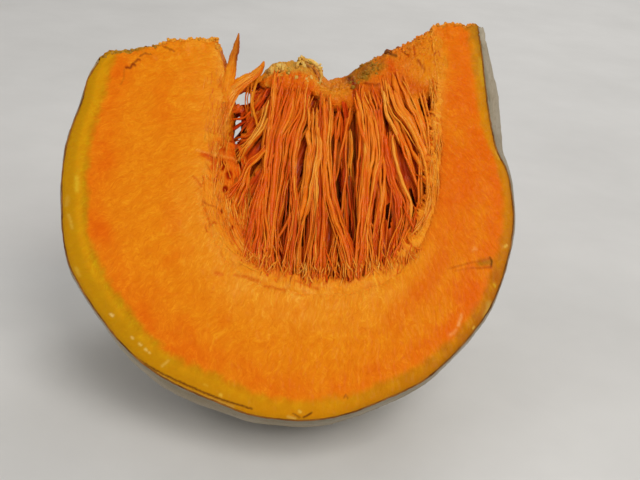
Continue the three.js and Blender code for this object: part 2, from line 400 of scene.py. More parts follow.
def flesh_material(name, k=1.0):
    m, nt, b = nodes_of(name)
    col = attr(nt, "col")
    st = attr(nt, "st", "Vector")
    calm = attr(nt, "calm", "Fac")
    warp = noise(nt, vscale(nt, st, (0.10, 0.10, 0.10)), 1.0, 3.0, 0.55, 0.0, "Color")
    wv = vadd(nt, st, vscale(nt, warp, (11.0, 11.0, 0.0)))
    fibre = noise(nt, vscale(nt, wv, (0.85, 0.40, 1.0)), 1.0, 4.0, 0.62, 0.35)
    fine = noise(nt, vscale(nt, wv, (2.5, 1.1, 1.0)), 1.0, 4.0, 0.66, 0.25)
    mott = noise(nt, vscale(nt, st, (0.32, 0.26, 1.0)), 1.0, 3.0, 0.55)
    light = mixc(nt, 1.0, col, (1.10, 1.48, 2.6), "MULTIPLY")
    dark = mixc(nt, 1.0, col, (0.90, 0.72, 0.45), "MULTIPLY")
    f = math2(nt, "ADD", math2(nt, "MULTIPLY", fibre, 0.5), math2(nt, "MULTIPLY", fine, 0.5))
    keep = remap(nt, calm, 0.0, 1.0, 1.0, 0.0)
    c1 = mixc(nt, math2(nt, "MULTIPLY", remap(nt, f, 0.51, 0.62, 0.0, 0.80 * k), keep), col, light)
    c2 = mixc(nt, math2(nt, "MULTIPLY", remap(nt, f, 0.48, 0.37, 0.0, 0.78 * k), keep), c1, dark)
    c3 = mixc(nt, math2(nt, "MULTIPLY", remap(nt, mott, 0.42, 0.62, 0.0, 0.34), keep), c2, dark)
    nt.links.new(c3, b.inputs["Base Color"])
    moist(b, 0.48, 0.12, 0.025, 0.15, 0.05)
    h = math2(nt, "ADD", f, math2(nt, "MULTIPLY", noise(nt, vscale(nt, st, (4, 3.4, 1)), 1.0, 2.0), 0.4))
    bump(nt, h, 0.6, 0.4, b)
    return m


def wall_material():
    m, nt, b = nodes_of("cavity_flesh")
    col = attr(nt, "col")
    st = attr(nt, "st", "Vector")
    f = noise(nt, vscale(nt, st, (0.9, 0.9, 1.0)), 1.0, 5.0, 0.65, 0.6)
    c = mixc(nt, remap(nt, f, 0.5, 0.7, 0.0, 0.7), col, mixc(nt, 1.0, col, (1.25, 1.7, 3.0), "MULTIPLY"))
    c = mixc(nt, remap(nt, f, 0.48, 0.3, 0.0, 0.8), c, mixc(nt, 1.0, col, (0.6, 0.35, 0.3), "MULTIPLY"))
    nt.links.new(c, b.inputs["Base Color"])
    moist(b, 0.45, 0.12, 0.10, 0.15, 0.12)
    bump(nt, f, 0.7, 0.6, b)
    return m


def web_material():
    """Thin torn tissue, ribbed along the strings."""
    m, nt, b = nodes_of("torn_tissue")
    col = attr(nt, "col")
    st = attr(nt, "st", "Vector")
    f = noise(nt, vscale(nt, st, (1.6, 0.16, 1.0)), 1.0, 4.0, 0.65, 0.3)
    c = mixc(nt, remap(nt, f, 0.52, 0.66, 0.0, 0.7), col, mixc(nt, 1.0, col, (1.25, 1.7, 2.0), "MULTIPLY"))
    c = mixc(nt, remap(nt, f, 0.48, 0.34, 0.0, 0.8), c, mixc(nt, 1.0, col, (0.65, 0.42, 0.4), "MULTIPLY"))
    nt.links.new(c, b.inputs["Base Color"])
    moist(b, 0.5, 0.1, 0.12, 0.2, 0.12)
    bump(nt, f, 1.0, 0.7, b)
    return m


def string_material(name, rough=0.45, coat=0.13):
    m, nt, b = nodes_of(name)
    col = attr(nt, "col")
    st = attr(nt, "st", "Vector")
    f = noise(nt, vscale(nt, st, (2.2, 0.5, 1.0)), 1.0, 3.0, 0.6)
    c = mixc(nt, remap(nt, f, 0.5, 0.72, 0.0, 0.45), col, mixc(nt, 1.0, col, (1.12, 1.4, 2.2), "MULTIPLY"))
    c = mixc(nt, remap(nt, f, 0.48, 0.3, 0.0, 0.6), c, mixc(nt, 1.0, col, (0.75, 0.5, 0.4), "MULTIPLY"))
    nt.links.new(c, b.inputs["Base Color"])
    moist(b, rough, 0.12, coat, 0.14, 0.08)
    bump(nt, f, 0.4, 0.25, b)
    return m


def core_material():
    """Wet torn tissue: small lumps that catch the light in specks."""
    m, nt, b = nodes_of("core_flesh")
    col = attr(nt, "col")
    st = attr(nt, "st", "Vector")
    f = noise(nt, vscale(nt, st, (1.3, 1.0, 1.2)), 1.0, 5.0, 0.68, 0.5)
    g = noise(nt, vscale(nt, st, (3.2, 2.8, 3.0)), 1.0, 3.0, 0.6)
    c = mixc(nt, remap(nt, f, 0.5, 0.68, 0.0, 0.5), col, mixc(nt, 1.0, col, (1.12, 1.5, 2.6), "MULTIPLY"))
    c = mixc(nt, remap(nt, f, 0.47, 0.33, 0.0, 0.6), c, mixc(nt, 1.0, col, (0.78, 0.5, 0.4), "MULTIPLY"))
    nt.links.new(c, b.inputs["Base Color"])
    moist(b, 0.55, 0.12, 0.07, 0.16, 0.04)
    bump(nt, math2(nt, "ADD", f, math2(nt, "MULTIPLY", g, 0.5)), 0.9, 0.5, b)
    return m


def rind_material():
    m, nt, b = nodes_of("rind")
    col = attr(nt, "col")
    st = attr(nt, "st", "Vector")  # mm round the profile, mm round the fruit
    f = noise(nt, vscale(nt, st, (0.5, 1.6, 1.0)), 1.0, 6.0, 0.68, 0.4)
    big = noise(nt, vscale(nt, st, (0.06, 0.12, 1.0)), 1.0, 3.0, 0.5)
    sp = noise(nt, vscale(nt, st, (2.2, 2.2, 1.0)), 1.0, 2.0, 0.5)
    c = mixc(nt, remap(nt, f, 0.52, 0.70, 0.0, 0.75), col, mixc(nt, 1.0, col, (0.50, 0.46, 0.40), "MULTIPLY"))
    c = mixc(nt, remap(nt, f, 0.47, 0.32, 0.0, 0.5), c, mixc(nt, 1.0, col, (1.25, 1.27, 1.32), "MULTIPLY"))
    c = mixc(nt, remap(nt, big, 0.4, 0.65, 0.0, 0.45), c, mixc(nt, 1.0, col, (0.78, 0.74, 0.62), "MULTIPLY"))
    c = mixc(nt, remap(nt, sp, 0.66, 0.72, 0.0, 0.55), c, (0.36, 0.30, 0.2))
    nt.links.new(c, b.inputs["Base Color"])
    b.inputs["Roughness"].default_value = 0.58
    b.inputs["Specular IOR Level"].default_value = 0.35
    h = math2(nt, "ADD", f, math2(nt, "MULTIPLY", sp, 0.5))
    bump(nt, h, 0.55, 0.4, b)
    return m


FLESH = flesh_material("flesh")
WALL = wall_material()
STRING = string_material("seed_strings")
PITH = string_material("pith", 0.55, 0.05)
WEB = web_material()
CORE = core_material()
RIND = rind_material()

# ---------------------------------------------------------------- colours
C_DEEP = lin(226, 101, 4)
C_MID = lin(230, 131, 12)
C_LIGHT = lin(236, 147, 30)
C_PALE = lin(242, 168, 62)
C_RED = lin(208, 66, 4)
C_MAROON = lin(160, 42, 3)
RIM_L = lin(189, 132, 4)
RIM_B = lin(205, 132, 5)
RIM_R = lin(176, 92, 6)
RIM_U = lin(206, 126, 6)
RIM_T = lin(176, 112, 20)


def face_colour(u, sd, cd, X, r, seed):
    """u along the rim 0..1, sd and cd the distances to skin and cavity in mm."""
    Q = np.stack([X, r, np.full_like(X, 3.1 * seed)], -1)
    n1, n2, n3 = fbm(Q / 9.0, 3, seed), fbm(Q / 3.2, 3, seed + 3), fbm(Q / 22.0, 2, seed + 5)
    rw = np.interp(u, [0, 0.05, 0.2, 0.35, 0.5, 0.62, 0.75, 0.9, 1.0], [6.0, 7.5, 8.0, 7.0, 5.2, 4.2, 3.6, 3.2, 3.0])
    right = sstep(0.6, 0.78, u)
    left = 1 - sstep(0.12, 0.4, u)
    rim = np.stack([np.interp(u, [0, 0.3, 0.5, 0.7, 0.88, 1.0], [a[k] for a in (RIM_L, RIM_L, RIM_B, RIM_R, RIM_U, RIM_T)])
                    for k in range(3)], -1)
    # deeper orange towards the right end: partly the flesh's own tone, partly painted shade on that side
    base = mix(C_MID, C_DEEP, np.clip(-0.05 + 0.70 * right + 1.0 * n1 + 0.8 * n3, 0, 1))
    inner = np.exp(-((sd - rw - 3.0) / 5.0) ** 2)
    base = mix(base, C_DEEP, np.clip(0.45 * inner * (1 + 1.5 * n1), 0, 1))
    glow = (1 - sstep(2.0, 19.0, cd)) * (1 - 0.85 * sstep(0.56, 0.70, u)) * (1 - 0.35 * left)
    base = mix(base, C_LIGHT, np.clip(glow * (0.85 + 0.8 * n1), 0, 1))
    base = mix(base, C_PALE, np.clip(0.35 * (1 - sstep(0.5, 5.0, cd)) + 0.6 * np.maximum(n2, 0) * glow, 0, 0.6))
    m = 1 - sstep(rw - 1.3, rw + 1.7, sd + 1.6 * n2 + 1.2 * n1)
    c = mix(base, rim, m)
    # greener next to the skin, with a brighter yellow band inside it
    c = mix(c, lin(146, 100, 6), np.clip(0.45 * (1 - sstep(0.3, 1.8, sd)) * (0.7 + 0.8 * n2), 0, 0.6))
    c = mix(c, lin(222, 152, 8), np.clip(0.5 * np.exp(-((sd - 0.72 * rw) / 1.4) ** 2) * (0.5 + left + 1.1 * n2), 0, 0.6))
    return c


def near(px, py, pts):
    """Distance in picture pixels to a broken line."""
    pts = np.array(pts, float)
    best = np.full(np.shape(px), 1e9)
    for a, b in zip(pts[:-1], pts[1:]):
        ab = b - a
        t = np.clip(((px - a[0]) * ab[0] + (py - a[1]) * ab[1]) / (ab @ ab), 0, 1)
        best = np.minimum(best, np.hypot(px - a[0] - t * ab[0], py - a[1] - t * ab[1]))
    return best


def paint(col, px, py, marks):
    w = 0.5 * gnoise(np.stack([px / 2.0, py / 2.0, 0 * px], -1), 61)
    for pts, half, c, k in marks:
        g = np.exp(-np.maximum(near(px + w, py - w, pts) / half, 0) ** 2.4)
        col = mix(col, lin(*c), k * g * (0.7 if c[1] > 150 else 1.0))
    return col


# Marks on the front cut: a line in the picture, its half width in pixels, colour, strength.
FACE_MARKS = [
    ([(150, 371), (175, 386), (200, 397), (232, 407)], 2.6, (196, 150, 66), 0.55),
    ([(133, 356), (150, 367), (163, 374), (178, 381), (197, 389.5), (215, 397), (236, 404), (252, 408.6)], 1.0, (104, 52, 10), 0.95),
    ([(293, 413.5), (297, 415.5), (300, 417.6)], 0.9, (120, 66, 10), 0.8),
    ([(303.5, 417.2), (307, 415.8), (311.5, 412.8)], 1.0, (96, 40, 6), 0.95),
    ([(344.5, 397.5), (346, 394.8), (347.8, 398.2)], 0.9, (150, 76, 8), 0.7),
    ([(163, 46.5), (168, 48.6), (174, 51)], 0.9, (160, 80, 6), 0.8),
    ([(126, 67.5), (130, 68), (133, 64.5), (135, 65.5)], 1.3, (136, 44, 4), 0.95),
    ([(133, 64), (137, 59.5), (139.5, 60.5)], 1.1, (146, 54, 4), 0.85),
    ([(140, 56), (145, 53), (149, 54.5), (152, 54)], 1.0, (150, 70, 12), 0.75),
    ([(124, 70), (124, 78), (121, 84)], 0.9, (180, 90, 8), 0.5),
    ([(137, 50), (143, 48), (147, 47.5)], 2.0, (150, 110, 20), 0.5),
    ([(480, 263), (486, 262.5), (489.5, 262)], 3.6, (172, 112, 10), 0.85),
    ([(489.8, 257.5), (491.7, 262), (491, 267)], 1.1, (104, 52, 8), 0.9),
    ([(491, 267), (483, 268), (472, 268)], 1.0, (184, 74, 4), 0.75),
    ([(489.6, 258.5), (483, 260.5), (474, 262), (462, 265), (450, 268)], 1.1, (190, 84, 4), 0.65),
    ([(472, 268), (462, 269.5), (455, 270.5)], 0.9, (202, 90, 8), 0.55),
    ([(461.5, 315), (460, 320), (458.5, 325)], 1.6, (242, 176, 96), 0.7),
    ([(449.5, 335), (453.5, 333), (456, 330)], 1.7, (240, 166, 84), 0.6),
    ([(473, 251), (474.5, 248), (477, 249)], 1.3, (240, 164, 84), 0.55),
    ([(489, 304), (488, 310), (486, 315)], 3.4, (208, 168, 66), 0.75),
    ([(474, 327), (473.4, 328.4)], 1.1, (236, 200, 80), 0.75),
    ([(504.5, 246.8), (506.6, 245.6)], 1.3, (240, 196, 84), 0.85),
    ([(494, 284.6), (495, 286.4)], 1.3, (222, 182, 30), 0.7),
    ([(480, 60), (481.5, 72), (483.5, 84)], 2.4, (214, 170, 36), 0.6),
    ([(497, 152), (500, 158)], 1.8, (226, 184, 70), 0.6),
    ([(76.8, 177), (77, 190)], 2.6, (222, 184, 44), 0.65),
    ([(67.5, 198), (66, 205)], 2.4, (216, 178, 70), 0.35),
    ([(68.5, 215), (70.5, 221), (72, 228)], 1.8, (228, 194, 76), 0.4),
    ([(75.5, 268), (79, 275)], 2.0, (214, 176, 60), 0.5),
    ([(62.5, 150), (63.5, 141)], 1.4, (140, 80, 20), 0.6),
    ([(111, 314.4), (112.4, 315.6)], 1.5, (244, 214, 130), 0.85),
    ([(132, 337), (133, 338.4)], 1.2, (240, 204, 110), 0.8),
    ([(139.4, 343.4), (141, 345)], 1.2, (240, 204, 110), 0.8),
    ([(145.4, 349), (146.6, 350.6)], 1.2, (240, 204, 110), 0.8),
    ([(149, 352), (149.6, 353.2)], 1.0, (240, 204, 110), 0.7),
    ([(162, 366), (168, 361)], 1.4, (232, 190, 80), 0.6),
    ([(220, 394.4), (221.4, 395.6)], 1.5, (236, 196, 70), 0.7),
    ([(299, 411), (300.4, 412)], 1.3, (240, 204, 90), 0.8),
    ([(288, 416.5), (295, 418.5)], 1.4, (226, 190, 90), 0.6),
    ([(204, 384), (207, 386)], 1.2, (226, 180, 50), 0.5),
    ([(203, 154), (210, 157), (216, 163), (213, 168)], 3.4, (212, 74, 6), 0.85),
    ([(197, 150), (207, 152.5), (218, 155), (232, 158), (240, 162), (247, 171)], 1.1, (238, 150, 60), 0.55),
    ([(206, 155), (218, 158), (232, 161), (243, 170)], 1.0, (196, 64, 6), 0.5),
    ([(193, 176), (198, 181), (201, 186)], 1.2, (206, 84, 8), 0.6),
    ([(203, 201), (208, 205), (216, 207), (222, 212)], 1.0, (190, 84, 14), 0.6),
    ([(216, 273), (222, 274)], 2.2, (214, 84, 14), 0.6),
    ([(235, 275), (246, 277), (258, 281)], 1.8, (206, 84, 8), 0.55),
    ([(265, 286), (276, 288), (286, 291)], 1.6, (214, 96, 8), 0.5),
    ([(296, 281), (306, 285), (318, 289)], 1.5, (214, 88, 6), 0.5),
    # two broad deeper orange patches right of the cavity: partly the flesh's own tone, partly painted shade
    ([(418, 292), (432, 276), (441, 258)], 11.0, (222, 100, 6), 0.7),
    ([(392, 318), (404, 312)], 10.0, (224, 104, 8), 0.5),
    ([(430, 51), (433, 55), (436, 53)], 1.3, (168, 52, 8), 0.8),
    ([(436, 53), (439, 51), (439.6, 56), (437, 59.5)], 0.8, (196, 80, 14), 0.7),
    ([(424, 60), (427, 66), (430, 71)], 0.9, (196, 78, 8), 0.6),
    ([(433.6, 115), (434.6, 116)], 1.1, (160, 52, 8), 0.8),
]


# ---------------------------------------------------------------- the torn lip round the cavity
def lip(u, phi_side):
    """How far the lip is drawn back behind the cut, and how far it flares, at u along the wall (mm)."""
    Q = np.stack([u * 190 / 5.0, 0 * u + 7.0 * phi_side, 0 * u], -1)
    Q2 = np.stack([u * 190 / 1.5, 0 * u + 7.0 * phi_side, 0 * u + 3.0], -1)
    k = sstep(0.03, 0.14, u) * sstep(0.03, 0.14, 1 - u)
    a, b = fbm(Q, 3, 301), fbm(Q2, 2, 305)
    low = 0.35 + 0.65 * sstep(0.18, 0.34, u) * sstep(0.10, 0.22, 1 - u)
    return k * low * (1.9 + 1.6 * a + 0.9 * b).clip(0.2), k * low * (1.3 + 2.2 * fbm(Q + 9.0, 3, 309) + 0.9 * b)


# ---------------------------------------------------------------- the two cut faces
def coons(phi, nu, nt):
    C, N, h = skin_profile(nu)
    O = C + N * (h * lobe(phi))[:, None]
    I = resample(WALLC, nu)
    E0 = resample(np.array(EDGE_STEM), nt)
    E1 = resample(np.array(EDGE_BLOSSOM), nt)
    E0 = E0 + (O[0] - E0[0]) * (1 - np.linspace(0, 1, nt))[:, None]
    E1 = E1 + (O[-1] - E1[0]) * (1 - np.linspace(0, 1, nt))[:, None]
    u = np.linspace(0, 1, nu)[:, None, None]
    t = np.linspace(0, 1, nt)[None, :, None]
    P = (1 - t) * O[:, None] + t * I[:, None]
    P = P + (1 - u) ** 9 * (E0[None] - P[0:1]) + u ** 9 * (E1[None] - P[-1:])
    width = np.linalg.norm(O - I, axis=1)[:, None]
    TI = np.gradient(I, axis=0)
    TI /= np.linalg.norm(TI, axis=1)[:, None]
    NI = np.stack([-TI[:, 1], TI[:, 0]], 1)  # away from the cavity
    fl = lip(np.linspace(0, 1, nu), 0 if phi == 0 else 1)[1]
    P = P + NI[:, None] * (fl[:, None] * np.exp(-((1 - t[..., 0]) * width / 2.6) ** 2))[..., None]
    return P, u[..., 0] + 0 * t[..., 0], t[..., 0] + 0 * u[..., 0], width, O, E0, E1


def cut_face(name, phi, seed, flip):
    nu, nt = 1000, 140
    P, u, t, width, O, E0, E1 = coons(phi, nu, nt)
    x, r = P[..., 0], P[..., 1]
    sd, cd = t * width, (1 - t) * width
    F = fruit(x, r, phi)
    a = math.radians(phi)
    n = np.array([0, -1, 0.0]) if phi == 0 else np.array([0, math.cos(a), math.sin(a)])
    edge = np.minimum(np.minimum(sstep(0, 0.9, sd), sstep(0, 1.2, cd)),
                      np.minimum(sstep(0, 0.012, u), sstep(0, 0.012, 1 - u)))
    L = u * 265.0
    S = np.stack([L / 1.1, sd / 4.2, np.full_like(L, seed * 1.7)], -1)
    warp = np.stack([gnoise(F / 6, seed + 1), gnoise(F / 6, seed + 2), 0 * x], -1)
    fib = fbm(S + 1.4 * warp, 3, seed)
    big = fbm(F / 11.0, 3, seed + 9)
    torn = np.exp(-(cd / 3.5) ** 2) * (0.5 + 1.0 * fbm(F / 1.6, 3, seed + 21))
    h = 0.16 * fib + 0.30 * big + 0.10 * fbm(F / 0.9, 2, seed + 13) - 0.5 * torn - 0.15 * np.exp(-(sd / 1.2) ** 2)
    col = face_colour(u, sd, cd, x, r, seed)
    col = mix(col, C_RED, np.clip(0.9 * np.exp(-(cd / 2.0) ** 2) * np.clip(0.2 - 1.6 * torn, 0, 1), 0, 0.7))
    if phi == 0:
        px, py = proj(x, r, 0 * x)
        col = paint(col, px, py, FACE_MARKS)
    calm = 0.78 * (1 - sstep(3.0, 8.5, sd + 1.5 * fib))
    pull = lip(np.linspace(0, 1, nu), 0 if phi == 0 else 1)[0][:, None]
    hairs = np.abs(fbm(np.stack([L / 0.8, cd / 6.0, 0 * L + seed], -1), 2, seed + 31))
    sink = pull * np.exp(-(cd / 2.4) ** 2) + 1.1 * hairs * np.exp(-((cd - 1.5) / 4.0) ** 2) * sstep(0, 1.0, cd) * sstep(0.2, 1.5, pull)
    F = F + common(F) + n * (h * edge - sink)[..., None]
    st = np.stack([L, sd, np.full_like(L, seed * 3.7)], -1)
    build(name, F, grid(nu, nt), FLESH,
          {"col": col.reshape(-1, 3), "st": st.reshape(-1, 3), "calm": calm.ravel()}, flip=flip)
    return O, E0, E1


OF, EF0, EF1 = cut_face("front_cut_flesh", 0.0, 1, False)
OB, EB0, EB1 = cut_face("back_cut_flesh", WEDGE, 2, True)


# ---------------------------------------------------------------- rind
def rind():
    nu, nv = 640, 230
    C, N, h = skin_profile(nu)
    phi = np.linspace(0, WEDGE, nv)
    w = lobe(phi)
    P = C[:, None] + N[:, None] * (h[:, None] * w[None])[..., None]
    F = fruit(P[..., 0], P[..., 1], phi[None])
    nrm = np.stack([N[:, None, 0] + 0 * phi[None], N[:, None, 1] * np.sin(np.radians(phi))[None],
                    -N[:, None, 1] * np.cos(np.radians(phi))[None]], -1)
    edge = np.minimum(sstep(0, 1.5, phi)[None], sstep(0, 1.5, WEDGE - phi)[None]) + 0 * P[..., 0]
    s_mm = np.linspace(0, 290, nu)[:, None] + 0 * phi[None]
    arc = P[..., 1] * np.radians(phi)[None]
    lump = 0.55 * fbm(F / 14.0, 3, 61) + 0.16 * fbm(F / 3.0, 3, 62)
    groove = 0.10 * fbm(np.stack([s_mm / 9.0, arc / 1.3, 0 * arc], -1), 3, 63)
    hh = (lump + groove) * edge
    F2 = F + common(F) + nrm * hh[..., None]
    col = mix(lin(176, 166, 148), lin(150, 134, 108), np.clip(0.5 + 1.0 * fbm(F / 18.0, 3, 64), 0, 1))
    col = mix(col, lin(112, 104, 78), np.clip(0.55 * (1 - sstep(0.0, 0.45, w))[None] * (0.8 + 1.2 * fbm(F / 6.0, 3, 65)), 0, 0.7))
    col = mix(col, lin(188, 160, 112), np.clip(1.2 * (1 - sstep(9, 17, np.hypot(F[..., 1], F[..., 2]))) * (F[..., 0] < 0), 0, 0.8))
    st = np.stack([s_mm, arc, 0 * arc], -1)
    build("rind", F2, grid(nu, nv), RIND, {"col": col.reshape(-1, 3), "st": st.reshape(-1, 3)}, flip=True)


rind()


# ---------------------------------------------------------------- cavity wall
def cavity_wall():
    nu, nv = 430, 220
    C = resample(WALLC, nu)
    T = np.gradient(C, axis=0)
    T /= np.linalg.norm(T, axis=1)[:, None]
    N = np.stack([T[:, 1], -T[:, 0]], 1)  # into the cavity
    u = np.linspace(0, 1, nu)
    (p0, f0), (p1, f1) = lip(u, 0), lip(u, 1)
    q = np.linspace(0, 1, nv)
    a0 = np.degrees(np.arcsin(np.clip(p0 / C[:, 1], 0, 0.9)))
    a1 = WEDGE - np.degrees(np.arcsin(np.clip(p1 / C[:, 1], 0, 0.9)))
    phi = a0[:, None] + (a1 - a0)[:, None] * q[None]
    flare = f0[:, None] * np.exp(-((phi - a0[:, None]) * C[:, 1:] / 57.3 / 3.0) ** 2) + f1[:, None] * np.exp(-((a1[:, None] - phi) * C[:, 1:] / 57.3 / 3.0) ** 2)
    x = C[:, None, 0] - N[:, None, 0] * flare
    r = C[:, None, 1] - N[:, None, 1] * flare
    F = fruit(x, r, phi)
    nrm = np.stack([N[:, None, 0] + 0 * phi, N[:, None, 1] * np.sin(np.radians(phi)),
                    -N[:, None, 1] * np.cos(np.radians(phi))], -1)
    arc = r * np.radians(phi)
    edge = np.minimum(sstep(0, 1.6, r * np.radians(phi - a0[:, None])), sstep(0, 1.6, r * np.radians(a1[:, None] - phi)))
    edge = np.minimum(edge, np.minimum(sstep(0, 0.02, np.linspace(0, 1, nu)), sstep(0, 0.02, 1 - np.linspace(0, 1, nu)))[:, None])
    ridged = 1 - 2 * np.abs(fbm(F / 4.5, 3, 71))
    hh = (0.9 * (ridged - 0.5) + 0.5 * fbm(F / 1.3, 3, 72)) * edge
    F2 = F + common(F) + nrm * hh[..., None]
    col = mix(C_RED, C_MID, np.clip(0.5 + 1.1 * (ridged - 0.6) + 0.7 * fbm(F / 7.0, 3, 73), 0, 1))
    col = mix(col, C_MAROON, np.clip(0.40 - 1.3 * (ridged - 0.2), 0, 0.5))
    near = np.exp(-(np.minimum(arc, r * math.radians(WEDGE) - arc) / 3.0) ** 2)
    col = mix(col, C_LIGHT, 0.7 * near)
    build("cavity_wall", F2, grid(nu, nv), WALL,
          {"col": col.reshape(-1, 3), "st": F.reshape(-1, 3)}, flip=False)


cavity_wall()


# ---------------------------------------------------------------- torn ridges where the cuts meet
def ridge(name, EF, EB, seed, flip, cork):
    nu, nv = 260, 34
    A, B = resample(EF, nu), resample(EB, nu)
    q = np.linspace(0, 1, nv)[None, :, None]
    P = A[:, None] * (1 - q) + B[:, None] * q
    phi = np.linspace(0, WEDGE, nv)[None] + 0 * P[..., 0]
    F = fruit(P[..., 0], P[..., 1], phi)
    e = np.minimum(sstep(0, 0.18, q[..., 0]), sstep(0, 0.18, 1 - q[..., 0])) + 0 * phi
    hh = (0.5 * fbm(F / 1.7, 3, seed) + 0.25 * fbm(F / 0.6, 2, seed + 4)) * e
    F2 = F + common(F) + np.stack([0.3 * hh, 0 * hh, hh], -1)
    n = fbm(F / 2.5, 3, seed + 8)
    col = mix(C_MID, C_LIGHT, np.clip(0.5 + 1.2 * n, 0, 1))
    if cork:
        col = mix(col, RIM_L, np.clip(0.9 * (1 - sstep(-52, -40, F[..., 0] + 5 * n)), 0, 1))
        k = (1 - sstep(-56, -46, F[..., 0])) * sstep(0.0, 0.35, n)
        col = mix(col, lin(120, 70, 20), np.clip(k, 0, 0.7))
    else:
        col = mix(col, RIM_T, sstep(44, 50, F[..., 0]))
    st = np.stack([P[..., 0], phi * 0.1, 0 * phi + seed], -1)
    build(name, F2, grid(nu, nv), FLESH, {"col": col.reshape(-1, 3), "st": st.reshape(-1, 3)}, flip=flip)
    return F2.reshape(-1, 3)


RIDGE_STEM = ridge("ridge_stem_end", EF0, EB0, 81, True, True)
RIDGE_BLOSSOM = ridge("ridge_blossom_end", EF1, EB1, 82, False, False)

# ---------------------------------------------------------------- strings
def tubes(name, C, R, col, mat, sides=6, flat=None, st_seed=0.0):
    """C (S,K,3) centre lines in fruit mm, R (S,K) radii, col (S,K,3)."""
    S, K, _ = C.shape
    T = np.gradient(C, axis=1)
    T /= np.maximum(np.linalg.norm(T, axis=2), 1e-9)[..., None]
    rg = np.random.default_rng(int(st_seed * 10) + 3)
    ref = np.array([0.15, 1.0, 0.1]) + 0.5 * rg.normal(size=(S, 1, 3))
    ref = ref - (ref * T).sum(-1, keepdims=True) * T
    Nn = ref / np.maximum(np.linalg.norm(ref, axis=2), 1e-9)[..., None]
    B = np.cross(T, Nn)
    a = np.linspace(0, 2 * np.pi, sides, endpoint=False)
    fl = np.ones((S, 1)) if flat is None else flat[:, None]
    ca = np.cos(a)[None, None, :] * fl[..., None]
    sa = np.sin(a)[None, None, :] / np.sqrt(fl)[..., None]
    wob = 1 + 0.18 * gnoise(np.stack(np.broadcast_arrays(
        np.arange(S)[:, None, None] * 3.3 + st_seed, np.arange(K)[None, :, None] / 3.0, a[None, None, :] * 1.4), -1), 5)
    V = C[:, :, None, :] + (R[:, :, None] * wob)[..., None] * (ca[..., None] * Nn[:, :, None] + sa[..., None] * B[:, :, None])
    q = grid(K, sides, True)
    faces = (q[None] + (np.arange(S) * K * sides)[:, None, None]).reshape(-1, 4)
    L = np.concatenate([np.zeros((S, 1)), np.cumsum(np.linalg.norm(np.diff(C, axis=1), axis=2), axis=1)], 1)
    st = np.stack(np.broadcast_arrays(a[None, None, :] * 0.5 + np.arange(S)[:, None, None] * 7.7, L[:, :, None],
                                      np.full((1, 1, 1), st_seed)), -1)
    colv = np.repeat(col[:, :, None, :], sides, 2)
    return build(name, V, faces, mat, {"col": colv.reshape(-1, 3), "st": st.reshape(-1, 3)}, flip=True)


def tint(t):
    """0 pale orange, 0.5 orange, 1 deep red-orange, 1.5 maroon."""
    t = np.clip(np.asarray(t, float), -0.2, 1.6)
    stops = [-0.2, 0.1, 0.35, 0.6, 0.9, 1.2, 1.6]
    cols = [lin(248, 178, 72), lin(242, 150, 40), lin(236, 122, 18), lin(226, 92, 8), lin(208, 66, 4), lin(178, 44, 4), lin(134, 26, 3)]
    return np.stack([np.interp(t, stops, [c[k] for c in cols]) for k in range(3)], -1)


def curve3(P, K):
    """Smooth curves through a few points each, (S,n,3) to (S,K,3)."""
    S, n, _ = P.shape
    E = np.concatenate([2 * P[:, :1] - P[:, 1:2], P, 2 * P[:, -1:] - P[:, -2:-1]], 1)
    t = np.linspace(0, n - 1 - 1e-6, K)
    i = t.astype(int)
    f = (t - i)[None, :, None]
    p0, p1, p2, p3 = E[:, i], E[:, i + 1], E[:, i + 2], E[:, i + 3]
    return 0.5 * ((2 * p1) + (-p0 + p2) * f + (2 * p0 - 5 * p1 + 4 * p2 - p3) * f ** 2 + (-p0 + 3 * p1 - 3 * p2 + p3) * f ** 3)


def zx(X, Y):
    """Drawing coordinates of the string plan to picture pixels."""
    return 210 + np.asarray(X, float) / 6.272, 40 + np.asarray(Y, float) / 6.272


